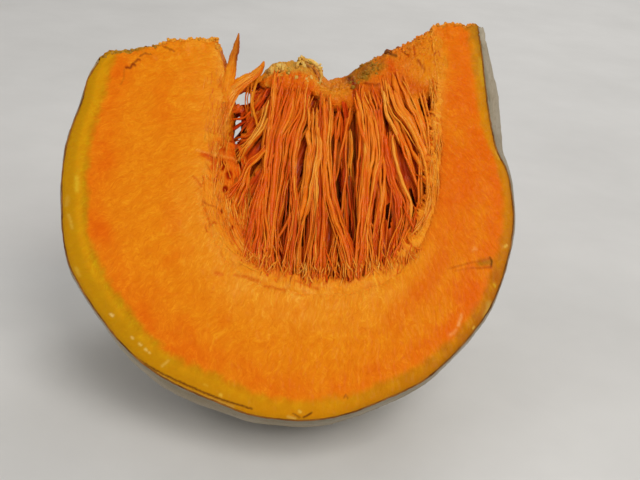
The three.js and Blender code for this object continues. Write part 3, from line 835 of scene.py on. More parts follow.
# Each bundle: points down its middle [X, Y, half width], number of strings, depth behind the cut at its top (mm),
# how far towards the wall behind it reaches at its foot (0 stays near the cut, 1 meets the wall), tints, radii (mm).
BUNDLES = [
    ([(480, 330, 85), (452, 450, 78), (412, 600, 60), (392, 760, 50), (375, 900, 38), (362, 1020, 26), (370, 1150, 22), (386, 1300, 26)], 22, 1.6, 0.55, (0.5, 0.85), (0.35, 0.75)),
    ([(590, 350, 45), (548, 490, 42), (502, 630, 38), (470, 770, 30), (440, 900, 24), (404, 1010, 26), (352, 1150, 34), (330, 1270, 40)], 11, 2.6, 0.75, (0.4, 0.8), (0.3, 0.6)),
    ([(602, 390, 25), (576, 520, 25), (542, 650, 24), (522, 780, 20), (528, 900, 16), (540, 1010, 16), (515, 1130, 16), (498, 1260, 20), (470, 1380, 30)], 8, 1.8, 0.45, (0.3, 0.7), (0.28, 0.55)),
    ([(650, 540, 42), (655, 680, 38), (642, 800, 34), (626, 900, 28), (600, 1000, 24), (560, 1100, 22), (532, 1200, 22), (512, 1350, 30)], 12, 1.2, 0.5, (0.24, 0.55), (0.3, 0.6)),
    ([(668, 560, 25), (668, 720, 22), (662, 850, 20), (656, 1000, 20), (652, 1120, 20), (638, 1240, 22), (622, 1390, 30)], 8, 1.5, 0.45, (0.15, 0.5), (0.3, 0.6)),
    ([(706, 470, 24), (708, 620, 22), (703, 780, 20), (700, 900, 18), (692, 1020, 18), (690, 1130, 16), (670, 1250, 18), (665, 1390, 26)], 8, 2.2, 0.5, (0.5, 0.95), (0.3, 0.6)),
    ([(742, 440, 42), (746, 560, 32), (738, 700, 28), (742, 820, 26), (752, 920, 24), (790, 1020, 24), (836, 1100, 22), (876, 1190, 22), (905, 1310, 30)], 12, 1.6, 0.45, (0.3, 0.75), (0.32, 0.65)),
    ([(745, 860, 18), (738, 980, 16), (724, 1080, 16), (702, 1180, 16), (690, 1330, 22)], 6, 4.0, 0.5, (0.4, 0.8), (0.28, 0.5)),
    ([(760, 920, 18), (766, 1050, 16), (776, 1160, 16), (772, 1280, 18), (745, 1400, 26)], 6, 4.0, 0.5, (0.3, 0.8), (0.28, 0.5)),
    ([(892, 590, 9), (885, 700, 9), (872, 800, 9), (890, 890, 9), (930, 960, 9), (945, 1060, 10)], 3, 2.0, 0.3, (0.15, 0.45), (0.25, 0.42)),
    ([(965, 400, 60), (998, 540, 74), (1010, 660, 74), (1005, 780, 66), (990, 880, 52), (975, 980, 42), (965, 1080, 36), (955, 1180, 32), (940, 1320, 36)], 24, 1.2, 0.5, (0.35, 0.85), (0.35, 0.75)),
    ([(1060, 480, 22), (1085, 620, 24), (1100, 720, 24), (1130, 820, 26), (1165, 900, 28), (1182, 1000, 24), (1162, 1090, 22), (1130, 1220, 26)], 11, 1.8, 0.5, (0.5, 0.9), (0.3, 0.6)),
    ([(1060, 740, 28), (1076, 880, 32), (1076, 1000, 30), (1060, 1100, 26), (1050, 1220, 26), (1036, 1350, 30)], 10, 2.4, 0.55, (0.4, 0.85), (0.3, 0.6)),
    ([(1090, 360, 16), (1120, 480, 18), (1160, 560, 18), (1200, 640, 16), (1235, 720, 14), (1265, 800, 12), (1285, 880, 11), (1300, 980, 12), (1290, 1080, 18)], 6, 1.0, 0.3, (0.15, 0.5), (0.3, 0.55)),
    ([(1130, 330, 34), (1182, 450, 28), (1240, 540, 24), (1290, 620, 20), (1335, 700, 17), (1360, 790, 14), (1372, 880, 13), (1352, 1000, 16), (1304, 1130, 22)], 11, 1.2, 0.35, (0.3, 0.65), (0.3, 0.6)),
    ([(1200, 280, 42), (1262, 400, 36), (1310, 500, 28), (1345, 600, 22), (1368, 700, 15), (1380, 800, 12), (1372, 940, 12)], 6, 0.8, 0.15, (0.2, 0.5), (0.3, 0.6)),
    ([(1300, 250, 34), (1342, 380, 26), (1372, 500, 20), (1386, 620, 14), (1390, 740, 10)], 3, 0.4, 0.0, (0.15, 0.4), (0.3, 0.6)),
    ([(1138, 600, 20), (1150, 750, 14), (1190, 860, 11), (1222, 960, 12), (1240, 1060, 16), (1200, 1170, 22), (1150, 1300, 30)], 6, 1.2, 0.35, (0.42, 0.72), (0.24, 0.4)),
    ([(1322, 690, 13), (1326, 850, 12), (1318, 980, 14), (1282, 1100, 18), (1212, 1210, 24), (1120, 1330, 34)], 8, 2.0, 0.35, (0.3, 0.65), (0.28, 0.5)),
    ([(262, 315, 7), (264, 440, 6), (291, 565, 6)], 3, 2.0, 0.1, (0.15, 0.5), (0.25, 0.45)),
    ([(238, 262, 5), (232, 360, 5), (238, 470, 5), (214, 545, 5)], 2, 2.4, 0.1, (0.3, 0.6), (0.24, 0.38)),
    ([(352, 500, 14), (300, 590, 14), (240, 662, 15), (168, 752, 20)], 6, 2.0, 0.05, (0.15, 0.5), (0.28, 0.5)),
    ([(352, 560, 8), (258, 602, 9), (160, 665, 12)], 4, 3.5, 0.05, (0.4, 0.8), (0.25, 0.4)),
    ([(358, 690, 16), (300, 752, 16), (236, 802, 18), (196, 900, 26), (146, 1020, 34)], 9, 1.6, 0.0, (0.45, 0.85), (0.28, 0.55)),
    ([(362, 820, 22), (330, 900, 26), (300, 1000, 28), (256, 1100, 34), (200, 1190, 44)], 10, 1.6, 0.1, (0.4, 0.85), (0.28, 0.55)),
    ([(346, 940, 18), (345, 1080, 18), (350, 1200, 20), (350, 1330, 28)], 8, 2.2, 0.3, (0.4, 0.85), (0.28, 0.5)),
    ([(400, 330, 14), (385, 440, 14), (356, 560, 12), (346, 700, 12), (352, 850, 12), (350, 960, 12)], 5, 1.0, 0.1, (0.3, 0.7), (0.3, 0.5)),
    # a deep bundle in the dark gap, tinted dark red to maroon: partly the strings' own colour, partly painted shade of
    # the gap
    ([(820, 460, 40), (835, 600, 36), (845, 750, 34), (850, 900, 34), (862, 1050, 34), (868, 1200, 36), (850, 1350, 40)], 9, 7.0, 0.85, (0.7, 1.2), (0.3, 0.55)),
]


def bundle_lines(K=36):
    rg = np.random.default_rng(11)
    CC, RR, TT, BB = [], [], [], []
    for bi, (ctrl, n, d0, reach, (t0, t1), (r0, r1)) in enumerate(BUNDLES):
        c = np.array(ctrl, float)
        n = int(n * 1.55)
        m = 13
        q = np.linspace(0, 1, m)
        cs = resample(catmull(c, 12), m)
        to_wall = cs[-1, 1] > 1150
        from_core = cs[0, 1] < 560
        lanes = (np.arange(n) + 0.5) / n * 2 - 1
        for i in range(n):
            w = rg.normal(size=3) * np.array([0.20, 0.14, 0.10])
            off = lanes[i] * (0.95 + 0.14 * rg.normal()) + sum(w[k] * np.sin((k + 1) * np.pi * q + rg.uniform(0, 6)) for k in range(3))
            dirx = np.gradient(cs[:, 0])
            diry = np.gradient(cs[:, 1])
            nn = np.hypot(dirx, diry)
            spread = 1 + 0.9 * q ** 4
            X = cs[:, 0] + off * spread * cs[:, 2] * (diry / nn) + 3 * rg.normal()
            Y = cs[:, 1] - off * spread * cs[:, 2] * (dirx / nn)
            Y = Y - (rg.uniform(-30, 135) if from_core else rg.uniform(-30, 30)) * (1 - q) ** 3
            Y = Y + (rg.uniform(-60, 125) if to_wall else rg.uniform(-30, 30)) * q ** 3
            ppx, ppy = zx(X, Y)
            wd = wall_depth(float(ppx[-1]), float(ppy[-1]))
            if to_wall:
                dend = 0.9 + abs(rg.normal()) * (1.6 + 5.0 * reach) * rg.uniform(0.3, 1.2)
            else:
                dend = d0 * (1 - reach) + reach * wd
            lay = rg.uniform(0, 1) ** 1.3
            dd = (d0 + 2.8 * lay) * (1 - q ** 2.4) + dend * q ** 2.4
            dd = dd - (0.75 * d0 + 2.0 * lay) * (1 - q) ** 4 if from_core else dd
            dd = dd + 0.35 * np.sin(4 * q + rg.uniform(0, 6))
            if not to_wall:
                lim = np.array([wall_depth(float(a), float(b)) for a, b in zip(ppx[-3:], ppy[-3:])])
                dd[-3:] = np.minimum(dd[-3:], lim + 0.8)
            dd = np.maximum(dd, 0.35)
            x, r = unproj(ppx, ppy, dd)
            if to_wall:
                # the foot meets the wall close behind the cut
                xe = float(np.clip(x[-1], -27.5, 31.0))
                re = float(wall_r(xe)) + rg.uniform(-0.4, 0.9)
                re = math.sqrt(max(re * re - dd[-1] ** 2, 1.0))
                g = sstep(0.25, 1.0, q) ** 1.3
                x = x + (xe - x[-1]) * g
                r = r + (re - r[-1]) * g
            if to_wall and n > 12 and rg.uniform() < 0.46:
                # some run together with their neighbours before they get there
                qq = q * rg.uniform(0.5, 0.84)
                x, r, dd = np.interp(qq, q, x), np.interp(qq, q, r), np.interp(qq, q, dd) + 0.5 * q ** 3
                BB.append(0)
            else:
                BB.append(1 if to_wall else 0)
            CC.append(np.stack([x, dd, -r], -1))
            w3 = rg.uniform()
            rad = rg.uniform(r0, r1) * (0.62 if w3 < 0.74 else 0.95 if w3 < 0.90 else 1.45)
            prof = 0.6 + 0.4 * np.sin(np.pi * np.clip(q * 0.9 + 0.1, 0, 1)) ** 0.5
            RR.append(rad * prof)
            # strings lying deeper behind the cut get a darker red tint: partly their own colour, partly painted shade
            # of the cavity's depth
            base = t0 + (t1 - t0) * (0.15 + 0.55 * lay) + 0.09 * rg.normal() - 0.04 - (0.2 if rg.uniform() < 0.16 else 0.0)
            TT.append(base + 0 * q + 0.10 * sstep(0.45, 0.8, q) - 0.10 * sstep(0.85, 1.0, q) + 0.010 * np.maximum(dd - 4, 0))
    C = curve3(np.array(CC), K)
    idx = np.linspace(0, 12, K)
    R = np.array([np.interp(idx, np.arange(13), r) for r in RR])
    T = np.array([np.interp(idx, np.arange(13), t) for t in TT])
    S = len(C)
    sh = np.arange(S)[:, None, None] * 1.7
    wig = np.stack([gnoise(C / 7.0, 31 + k) for k in range(3)], -1)
    C = C + 0.55 * wig + 0.27 * np.stack([gnoise(C / 3.0 + sh, 34 + k) for k in range(3)], -1)
    R = R * (1 + 0.45 * gnoise(C / 3.4 + sh, 37) + 0.2 * gnoise(C / 1.5 + sh, 39))
    R[:, 0] *= 0.45
    R[:, -1] *= 0.25
    T = T + 0.16 * gnoise(C / 4.0, 38)
    return C, R, T, np.array(BB) > 0


def forks(name, C, n, seed, reach=3.0, lo=0.5, hi=0.86, rr=(0.12, 0.27), tt=(0.05, 0.6)):
    """Fine strings that split off the lower part of others and root in the wall beside them."""
    rg = np.random.default_rng(seed)
    S, Kc, _ = C.shape
    T = np.gradient(C, axis=1)
    T /= np.maximum(np.linalg.norm(T, axis=2), 1e-9)[..., None]
    pick = rg.integers(0, S, n)
    K = 16
    P = []
    for i in pick:
        j = rg.integers(int(lo * Kc), int(hi * Kc))
        p0 = C[i, j]
        e = C[i, -1] + np.array([rg.normal() * reach, rg.normal() * 1.6, 0]) + T[i, -1] * abs(rg.normal()) * 0.8
        e[1] = max(e[1], 0.6)
        e[0] = p0[0] + np.clip(e[0] - p0[0], -5.0, 5.0)
        L = np.linalg.norm(e - p0)
        p1 = p0 + T[i, j] * L * 0.3
        p2 = 0.5 * (p1 + e) + rg.normal(size=3) * 0.25
        P.append([p0, p1, p2, e])
    F = curve3(np.array(P), K)
    F += 0.16 * np.stack([gnoise(F / 1.6 + np.arange(n)[:, None, None], seed + k) for k in range(3)], -1)
    R = rg.uniform(*rr, n)[:, None] * np.linspace(1, 0.75, K)[None] * (1 + 0.3 * gnoise(F / 1.2, seed + 5))
    R[:, -1] *= 0.4
    TT = rg.uniform(*tt, n)[:, None] + 0.15 * gnoise(F / 3, seed + 7)
    tubes(name, F, R, tint(TT), STRING, 5, None, seed * 0.1)


def curtains():
    """Strings that have grown together side by side: ribbed sheets that split into strands lower down."""
    for bi, (ctrl, n, d0, reach, (t0, t1), _) in enumerate(BUNDLES):
        c = np.array(ctrl, float)
        if c[:, 2].max() < 24 or c[0, 1] > 620:
            continue
        nu, nv = 150, 46
        cs = resample(catmull(c, 12), nu)
        q = np.linspace(0, 1, nu)[:, None]
        v = np.linspace(-1, 1, nv)[None]
        to_wall = cs[-1, 1] > 1150
        dirx, diry = np.gradient(cs[:, 0]), np.gradient(cs[:, 1])
        m = np.hypot(dirx, diry)
        hw = cs[:, 2:3] * (0.92 + 0.5 * q ** 4)
        X = cs[:, 0:1] + v * hw * (diry / m)[:, None]
        Y = cs[:, 1:2] - v * hw * (dirx / m)[:, None]
        ppx, ppy = zx(X, Y)
        Lmm = q * length(cs[:, :2]) / 6.272 * 0.289
        Vmm = v * hw / 6.272 * 0.289
        Q = np.stack([Vmm / 0.7 + 0 * Lmm, Lmm / 9.0 + 0 * Vmm, 0 * Vmm + 0 * Lmm + 3.7 * bi], -1)
        rib_ = fbm(Q + 0.9 * gnoise(Q / 3.0, 401)[..., None] * np.array([1, 0, 0]), 3, 402)
        wave = fbm(np.stack([Vmm / 3.0 + 0 * Lmm, Lmm / 12.0 + 0 * Vmm, 0 * Vmm + 0 * Lmm + bi], -1), 2, 403)
        dend = 2.6 + 2.5 * reach if to_wall else d0 + 1.4
        d = (d0 + 1.5) * (1 - q ** 2.0) + dend * q ** 2.0 + 0.8 * wave - 0.75 * rib_
        d = np.maximum(d + 0 * v, 0.3)
        x, r = unproj(ppx, ppy, d)
        if to_wall:
            xe = np.clip(x[-1:], -27.5, 31.0)
            re = np.sqrt(np.maximum((wall_r(xe) + 0.7) ** 2 - d[-1:] ** 2, 1.0))
            g = sstep(0.25, 1.0, q) ** 1.3
            x = x + (xe - x[-1:]) * g
            r = r + (re - r[-1:]) * g
        F = np.stack([x, d, -r], -1)
        F = F + 0.35 * np.stack([gnoise(F / 4.0, 31 + k) for k in range(3)], -1)
        hole = fbm(np.stack([Vmm / 1.5 + 0 * Lmm, Lmm / 11.0 + 0 * Vmm, 0 * Vmm + 0 * Lmm + 2.1 * bi], -1), 3, 404)
        edge = np.abs(v) + 0 * q
        lim = 0.26 - 0.62 * sstep(0.12, 0.6, q) + 0.30 * sstep(0.86, 1.0, q)
        keep = hole < lim - 0.5 * sstep(0.72, 1.0, edge)
        fq = grid(nu, nv)
        keep = keep.ravel()[fq].all(1)
        T = 0.5 * (t0 + t1) * 0.9 + 0.06 - 0.55 * rib_ + 0.35 * wave + 0 * v
        col = tint(T)
        if keep.sum() < 50:
            continue
        build("curtain_%02d" % bi, F, fq[keep], WEB,
              {"col": col.reshape(-1, 3), "st": np.stack([Vmm * 1.6 + 0 * Lmm, Lmm + 0 * Vmm, 0 * Vmm + 0 * Lmm + bi], -1).reshape(-1, 3)}, flip=False)


curtains()


def front_strings():
    C, R, T, full = bundle_lines()
    S = len(C)
    rg = np.random.default_rng(5)
    flat = rg.uniform(0.6, 1.0, S)
    cutp = np.linspace(0, S, 5).astype(int)
    for k in range(4):
        a, b = cutp[k], cutp[k + 1]
        tubes("strings_front_%d" % (k + 1), C[a:b], R[a:b], tint(T[a:b]), STRING, 6, flat[a:b], 1.0 + k)
    forks("string_forks_a", C[full], 300, 91, 3.2, 0.45, 0.86, (0.17, 0.36), (0.2, 0.75))
    forks("string_forks_b", C[full], 150, 92, 2.2, 0.3, 0.7, (0.13, 0.26), (0.2, 0.75))


front_strings()


def core_top_r(x):
    return np.interp(x, [-15.5, -11.3, -7.4, -2.9, 0.7, 2.6, 5.6, 8.6, 11.6, 15.4, 18.5, 22.5, 27.2, 30.9, 33, 36, 38.5, 42],
                     [12.5, 10.8, 10.2, 10.4, 11.4, 14.8, 18.2, 17.6, 16.5, 13.9, 11.6, 9.4, 6.8, 6.0, 4.6, 3.0, 1.9, 1.7])


def wall_point(along, phi):
    s = np.linspace(0, 1, len(WALLC))
    return np.interp(along, s, WALLC[:, 0]), np.interp(along, s, WALLC[:, 1])


def inner_strings():
    """Strings all through the cavity, from the core to the wall, between the two cuts."""
    rg = np.random.default_rng(23)
    n, K = 760, 22
    along = rg.uniform(0.15, 0.87, n)
    x0 = -14 + 48 * np.clip((along - 0.12) / 0.76 + rg.normal(size=n) * 0.06, 0, 1)
    phi0 = rg.uniform(5, 60, n)
    back = np.arange(n) % 4 == 0
    phi0[back] = WEDGE - rg.uniform(2, 9, back.sum())
    phi1 = np.clip(phi0 + rg.normal(size=n) * 5, 2.5, 62)
    r0 = core_top_r(x0) + rg.uniform(3, 10, n)
    x1, r1 = wall_point(along, phi1)
    r1 = r1 + 0.8
    t = np.array([0, 0.25, 0.5, 0.75, 1.0])
    P = []
    for i in range(n):
        bulge = np.sin(np.pi * t)
        x = x0[i] + (x1[i] - x0[i]) * t ** rg.uniform(0.9, 1.5) + bulge * rg.normal() * 1.4
        r = r0[i] + (r1[i] - r0[i]) * t + bulge * rg.normal() * 0.8
        ph = phi0[i] + (phi1[i] - phi0[i]) * t + bulge * rg.normal() * 1.6
        P.append(fruit(x, r, ph))
    C = curve3(np.array(P), K)
    sh = np.arange(n)[:, None, None] * 2.3
    C = C + 0.6 * np.stack([gnoise(C / 6.0, 131 + k) for k in range(3)], -1) + 0.18 * np.stack([gnoise(C / 2.5 + sh, 134 + k) for k in range(3)], -1)
    R = rg.uniform(0.24, 0.62, n)[:, None] * (1 + 0.3 * gnoise(C / 2.5 + sh, 137))
    R[:, -1] *= 0.3
    R[:, 0] *= 0.5
    a = np.degrees(np.arctan2(C[..., 1], -C[..., 2]))
    rr = np.hypot(C[..., 1], C[..., 2])
    deep = np.minimum(a, WEDGE - a) / 57.3 * rr  # mm from the nearer cut
    # the deeper red away from the cuts is painted shade of the cavity's depth, over the strings' own orange
    T = 0.36 + 0.44 * sstep(2, 13, deep) + 0.18 * gnoise(C / 5.0, 138) + rg.normal(size=n)[:, None] * 0.10
    flat = rg.uniform(0.4, 0.95, n)
    ok = ~in_gap(C).any(1)
    forked = C[back & ok]
    C, R, T, flat = C[ok], R[ok], T[ok], flat[ok]
    n = len(C)
    cutp = np.linspace(0, n, 4).astype(int)
    for k in range(3):
        i, j = cutp[k], cutp[k + 1]
        tubes("strings_inner_%d" % (k + 1), C[i:j], R[i:j], tint(T[i:j]), STRING, 6, flat[i:j], 5.0 + k)
    forks("string_forks_inner", forked, 260, 93, 2.4)


# Two gaps beside the free end of the core, open right through the wedge: outlines in the picture.
GAPS = [[(234.5, 92), (239, 90), (245, 91), (251, 95), (250.5, 106), (244, 106.5), (239, 103), (235.5, 104)],
        [(233, 115), (238, 114), (241, 121), (240.5, 133), (240.5, 144), (235.5, 143), (233, 130)]]


def in_gap(F):
    """True for points that would stand in one of the two gaps."""
    px, py = proj(F[..., 0], -F[..., 2], F[..., 1])
    out = np.zeros(px.shape, bool)
    for g in GAPS:
        ins = np.zeros(px.shape, bool)
        for (x0, y0), (x1, y1) in zip(g, g[1:] + g[:1]):
            c = ((y0 > py) != (y1 > py)) & (px < (x1 - x0) * (py - y0) / (y1 - y0 + 1e-9) + x0)
            ins ^= c
        out |= ins
    return out


def stem_side():
    """Strings that cross from the stem end's flesh to the free end of the core, low in the gap."""
    rg = np.random.default_rng(29)
    n, K = 90, 18
    P = []
    for i in range(n):
        ph = rg.uniform(12, 60)
        ra, rb = rg.uniform(17, 40), rg.uniform(16, 21)
        t = np.array([0, 0.35, 0.7, 1.0])
        x = -24.8 + (10.5 + rg.uniform(0, 3)) * t
        r = ra + (rb - ra) * t + np.sin(np.pi * t) * (1.5 + rg.normal() * 1.2)
        P.append(fruit(x, np.maximum(r, 15.5), ph + t * rg.normal() * 5))
    C = curve3(np.array(P), K)
    C += 0.5 * np.stack([gnoise(C / 3.0 + np.arange(n)[:, None, None], 141 + k) for k in range(3)], -1)
    R = rg.uniform(0.2, 0.6, n)[:, None] * (1 + 0.4 * gnoise(C / 1.5, 144))
    T = rg.uniform(0.6, 1.2, n)[:, None] + 0.2 * gnoise(C / 3.0, 145)
    fl = rg.uniform(0.3, 0.9, n)
    ok = in_gap(C).sum(1) < np.where(np.arange(n) % 9 == 0, 99, 1)
    tubes("strings_stem_side", C[ok], R[ok], tint(T[ok]), STRING, 6, fl[ok], 8.5)


stem_side()


inner_strings()


def webs():
    """Torn sheets of placenta between the strings."""
    for k, ph in enumerate((13.0, 22.0, 32.0, 43.0, 53.0, 7.6)):
        nu, nt = 260, 130
        al = np.linspace(0.08, 0.90, nu)[:, None] + 0 * np.linspace(0, 1, nt)[None]
        t = np.linspace(0, 1, nt)[None] + 0 * al
        x0 = -15.0 + 50 * np.clip((al - 0.10) / 0.8, 0, 1)
        r0 = core_top_r(x0) + 4
        x1, r1 = wall_point(al, 0)
        x = x0 + (x1 - x0) * t ** 1.2
        r = r0 + (r1 - r0) * t
        F = fruit(x, r, ph)
        Q = np.stack([al * 120, t * 9 + 0 * al, 0 * al + 7.0 * k], -1)
        n = fbm(Q / np.array([16.0, 5.0, 1.0]) + 9 * k, 3, 151)
        pleat = fbm(Q / np.array([2.6, 6.0, 1.0]), 3, 153)
        mm = 3.2 * n * sstep(0, 0.25, t) + 2.2 * pleat * sstep(0, 0.2, t)
        if k == 5:  # the nearest one keeps about the same distance behind the cut
            ph = np.degrees(np.arcsin(np.clip(5.4 / np.maximum(r, 12), 0, 0.4)))
        F = fruit(x, r, ph + np.degrees(mm / np.maximum(r, 12)))
        F += 0.35 * np.stack([fbm(Q / 1.3, 2, 160 + j) for j in range(3)], -1)
        hole = fbm(np.stack([al * 46, t * 3.4, 0 * al + 3.3 * k], -1), 3, 170)
        g = grid(nu, nt)
        lim = (0.06, 0.10, 0.10, 0.10, 0.06, 0.15)[k]
        keep = hole.ravel()[g].mean(1) < lim
        xr, rr = x.ravel()[g].mean(1), r.ravel()[g].mean(1)
        keep &= ~((xr < -14) & (rr < 15.5))
        keep &= ~((xr < -20) & (rr < 30) & (hole.ravel()[g].mean(1) > -0.12))
        keep &= ~in_gap(F).ravel()[g].any(1)
        tone = (0.58, 0.68, 0.80, 0.80, 0.62, 0.74)[k] + 0.5 * fbm(F / 5.0, 3, 171) + 0.5 * pleat
        col = tint(tone)
        olive = np.exp(-((x - 8) / 6.0) ** 2 - ((r - 42) / 18.0) ** 2) + 0.8 * np.exp(-((x + 9) / 3.5) ** 2 - ((r - 52) / 14.0) ** 2)
        col = mix(col, lin(132, 88, 18), np.clip(0.9 * olive * (0.7 + 0.9 * n), 0, 0.85))
        build("web_%d" % (k + 1), F, g[keep], WEB,
              {"col": col.reshape(-1, 3), "st": (Q * np.array([1, 4, 1])).reshape(-1, 3)}, flip=False)


webs()


def fringe():
    """Frayed fibres where the strings root in the wall, along both lips of the cavity."""
    rg = np.random.default_rng(41)
    n, K = 120, 9
    along = rg.uniform(0.33, 0.76, n)
    side = np.arange(n) % 3 > 0
    low = sstep(0.2, 0.36, along) * sstep(0.16, 0.3, 1 - along)
    ph = np.abs(rg.normal(size=n)) * 8.0 + 1.6
    ph = np.where(side, ph, WEDGE - ph)
    s = np.linspace(0, 1, len(WALLC))
    T = np.gradient(WALLC, axis=0)
    T /= np.linalg.norm(T, axis=1)[:, None]
    P = []
    for i in range(n):
        x1, r1 = wall_point(along[i], 0)
        tx, tr = np.interp(along[i], s, T[:, 0]), np.interp(along[i], s, T[:, 1])
        nx, nr = tr, -tx
        # towards the core rather than square to the wall
        gx, gr = (4 - x1) * 0.9, 14 - r1
        m = math.hypot(gx, gr)
        nx, nr = 0.35 * nx + 0.65 * gx / m, 0.35 * nr + 0.65 * gr / m
        L = rg.uniform(1.0, 6.5) * (0.55 + 0.6 * low[i]) * (1.6 if rg.uniform() < 0.2 else 1)
        lean = rg.normal() * 0.75
        t = np.array([0, 0.35, 0.7, 1.0])
        x = x1 - 1.6 * nx + L * t * (nx + lean * tx)
        r = r1 - 1.6 * nr + L * t * (nr + lean * tr)
        P.append(fruit(x, r, np.clip(ph[i] + t * rg.normal() * 1.6, 0.5, WEDGE - 0.5)))
    C = curve3(np.array(P), K)
    C += 0.14 * np.stack([gnoise(C / 1.5 + np.arange(n)[:, None, None], 190 + k) for k in range(3)], -1)
    R = rg.uniform(0.18, 0.40, n)[:, None] * np.linspace(1.5, 0.4, K)[None] * (1 + 0.3 * gnoise(C / 1.2, 193))
    TT = rg.uniform(0.15, 0.7, n)[:, None] + np.linspace(0, 0.2, K)[None]
    tubes("fringe", C, R, tint(TT), STRING, 5, rg.uniform(0.5, 1, n), 6.0)


fringe()


def skirt(name, phi, seed, flip):
    """Ragged fingers of flesh that rise over the cavity's lip into the strings."""
    nu, nt = 1100, 44
    al = np.linspace(0.285, 0.93, nu)[:, None] + 0 * np.linspace(0, 1, nt)[None]
    q = np.linspace(0, 1, nt)[None] + 0 * al
    s = np.linspace(0, 1, len(WALLC))
    T = np.gradient(WALLC, axis=0)
    T /= np.linalg.norm(T, axis=1)[:, None]
    x1, r1 = np.interp(al, s, WALLC[:, 0]), np.interp(al, s, WALLC[:, 1])
    nx, nr = np.interp(al, s, T[:, 1]), -np.interp(al, s, T[:, 0])
    gx, gr = (4 - x1) * 0.9, 14 - r1
    m = np.hypot(gx, gr)
    nx, nr = 0.35 * nx + 0.65 * gx / m, 0.35 * nr + 0.65 * gr / m
    A = al * 190.0
    z = 0 * A + 5.1 * seed
    low = sstep(0.30, 0.40, al) * (1 - sstep(0.80, 0.92, al))
    fing = 1 - 2 * np.abs(fbm(np.stack([A / 2.1, z, z], -1), 3, 411))
    H = (1.2 + 5.2 * np.clip(0.35 + 1.3 * fbm(np.stack([A / 7.0, z, z], -1), 3, 412), 0, 1.2)) * (0.25 + 0.75 * low)
    H = H * (0.35 + 0.85 * sstep(0.35, 0.95, fing))
    o = -4.2 + (H + 4.2) * q
    lean = 1.4 * fbm(np.stack([A / 5.0, o / 6.0, z], -1), 2, 413) * np.clip(o, 0, 9) * 0.35
    S = np.stack([(A + 1.2 * lean) / 0.75, o / 4.5, z], -1)
    rib_ = fbm(S, 3, 414)
    lum = fbm(np.stack([A / 2.6, o / 2.2, z], -1), 3, 415)
    big = fbm(np.stack([A / 6.0, o / 5.0, z + 8], -1), 3, 418)
    d = 1.25 - 0.87 * sstep(-4.2, -0.6, o) + 0.16 * np.clip(o, 0, 9) ** 1.5 - 0.40 * rib_ * sstep(-3.6, -0.8, o) - 0.75 * lum * sstep(-3.8, -1.4, o) - 0.9 * big * sstep(-3.9, -1.5, o)
    d = d + 0.9 * sstep(0.8, 1.0, q)
    d = np.maximum(d, -0.30)
    x = x1 + o * nx + lean * np.interp(al, s, T[:, 0])
    r = r1 + o * nr + lean * np.interp(al, s, T[:, 1])
    ph = np.degrees(np.arcsin(np.clip(d / r, -0.02, 0.5)))
    F = fruit(x, r, ph if phi == 0 else WEDGE - ph)
    F = F + common(F)
    pit = sstep(0.22, 0.5, fbm(np.stack([(A + lean) / 1.5, o / 3.6, z], -1), 3, 416)) * sstep(-2.4, 0.6, o) * (0.3 + 0.7 * low)
    warm = np.clip(0.18 * np.maximum(o + 1.0, 0) + 0.5 * lum, 0, 1)
    col = mix(mix(C_LIGHT, C_PALE, np.clip(0.1 + 1.0 * lum, 0, 0.6)), tint(0.55 - 0.6 * rib_), warm)
    col = mix(col, lin(190, 60, 4), np.clip(0.8 * sstep(0.1, 0.5, -rib_) * sstep(-2.0, 0.8, o), 0, 0.8))
    col = mix(col, lin(146, 34, 3), np.clip(0.8 * pit, 0, 0.85))
    if phi == 0:
        px, py = proj(F[..., 0], -F[..., 2], F[..., 1])
        col = paint(col, px, py, FACE_MARKS)
    g = grid(nu, nt)
    hole = fbm(np.stack([(A + lean) / 1.3, o / 4.2, z + 3], -1), 3, 417).ravel()[g].mean(1)
    oc = o.ravel()[g].mean(1)
    keep = hole < 0.60 - 0.55 * sstep(0.3, 3.5, oc) * low.ravel()[g].mean(1)
    build(name, F, g[keep], FLESH,
          {"col": col.reshape(-1, 3), "st": np.stack([A * 1.3, o * 0.7, z], -1).reshape(-1, 3)}, flip=flip)


skirt("foot_fingers_front", 0.0, 1, False)
skirt("foot_fingers_back", WEDGE, 2, True)


def laid(name, lines, rr, tt, depth, mat, seed, wob=0.10, K=12, sides=5):
    """Fibres that lie on the front cut: each line is points in plan coordinates."""
    rg = np.random.default_rng(seed)
    P = []
    for ln in lines:
        q = np.array(ln, float)
        q = resample(catmull(q, 6), 5)
        ppx, ppy = zx(q[:, 0], q[:, 1])
        d0, d1 = depth
        d = d0 + (d1 - d0) * np.linspace(0, 1, 5) + 0.12 * rg.normal()
        d[0] += 0.35
        d[-1] += 0.35
        x, r = unproj(ppx, ppy, d)
        P.append(np.stack([x, d, -r], -1))
    n = len(P)
    C = curve3(np.array(P), K)
    C[..., 0] += wob * gnoise(C / 1.6 + np.arange(n)[:, None, None], seed + 1)
    C[..., 1] += 0.6 * wob * gnoise(C / 1.6 + np.arange(n)[:, None, None], seed + 2)
    R = rg.uniform(*rr, n)[:, None] * np.sin(np.pi * np.linspace(0.08, 0.92, K))[None] ** 0.5 * (1 + 0.25 * gnoise(C, seed + 3))
    TT = rg.uniform(*tt, n)[:, None] + 0.15 * gnoise(C / 2, seed + 4)
    tubes(name, C, R, tint(TT), mat, sides, rg.uniform(0.5, 0.9, n), seed * 0.1)


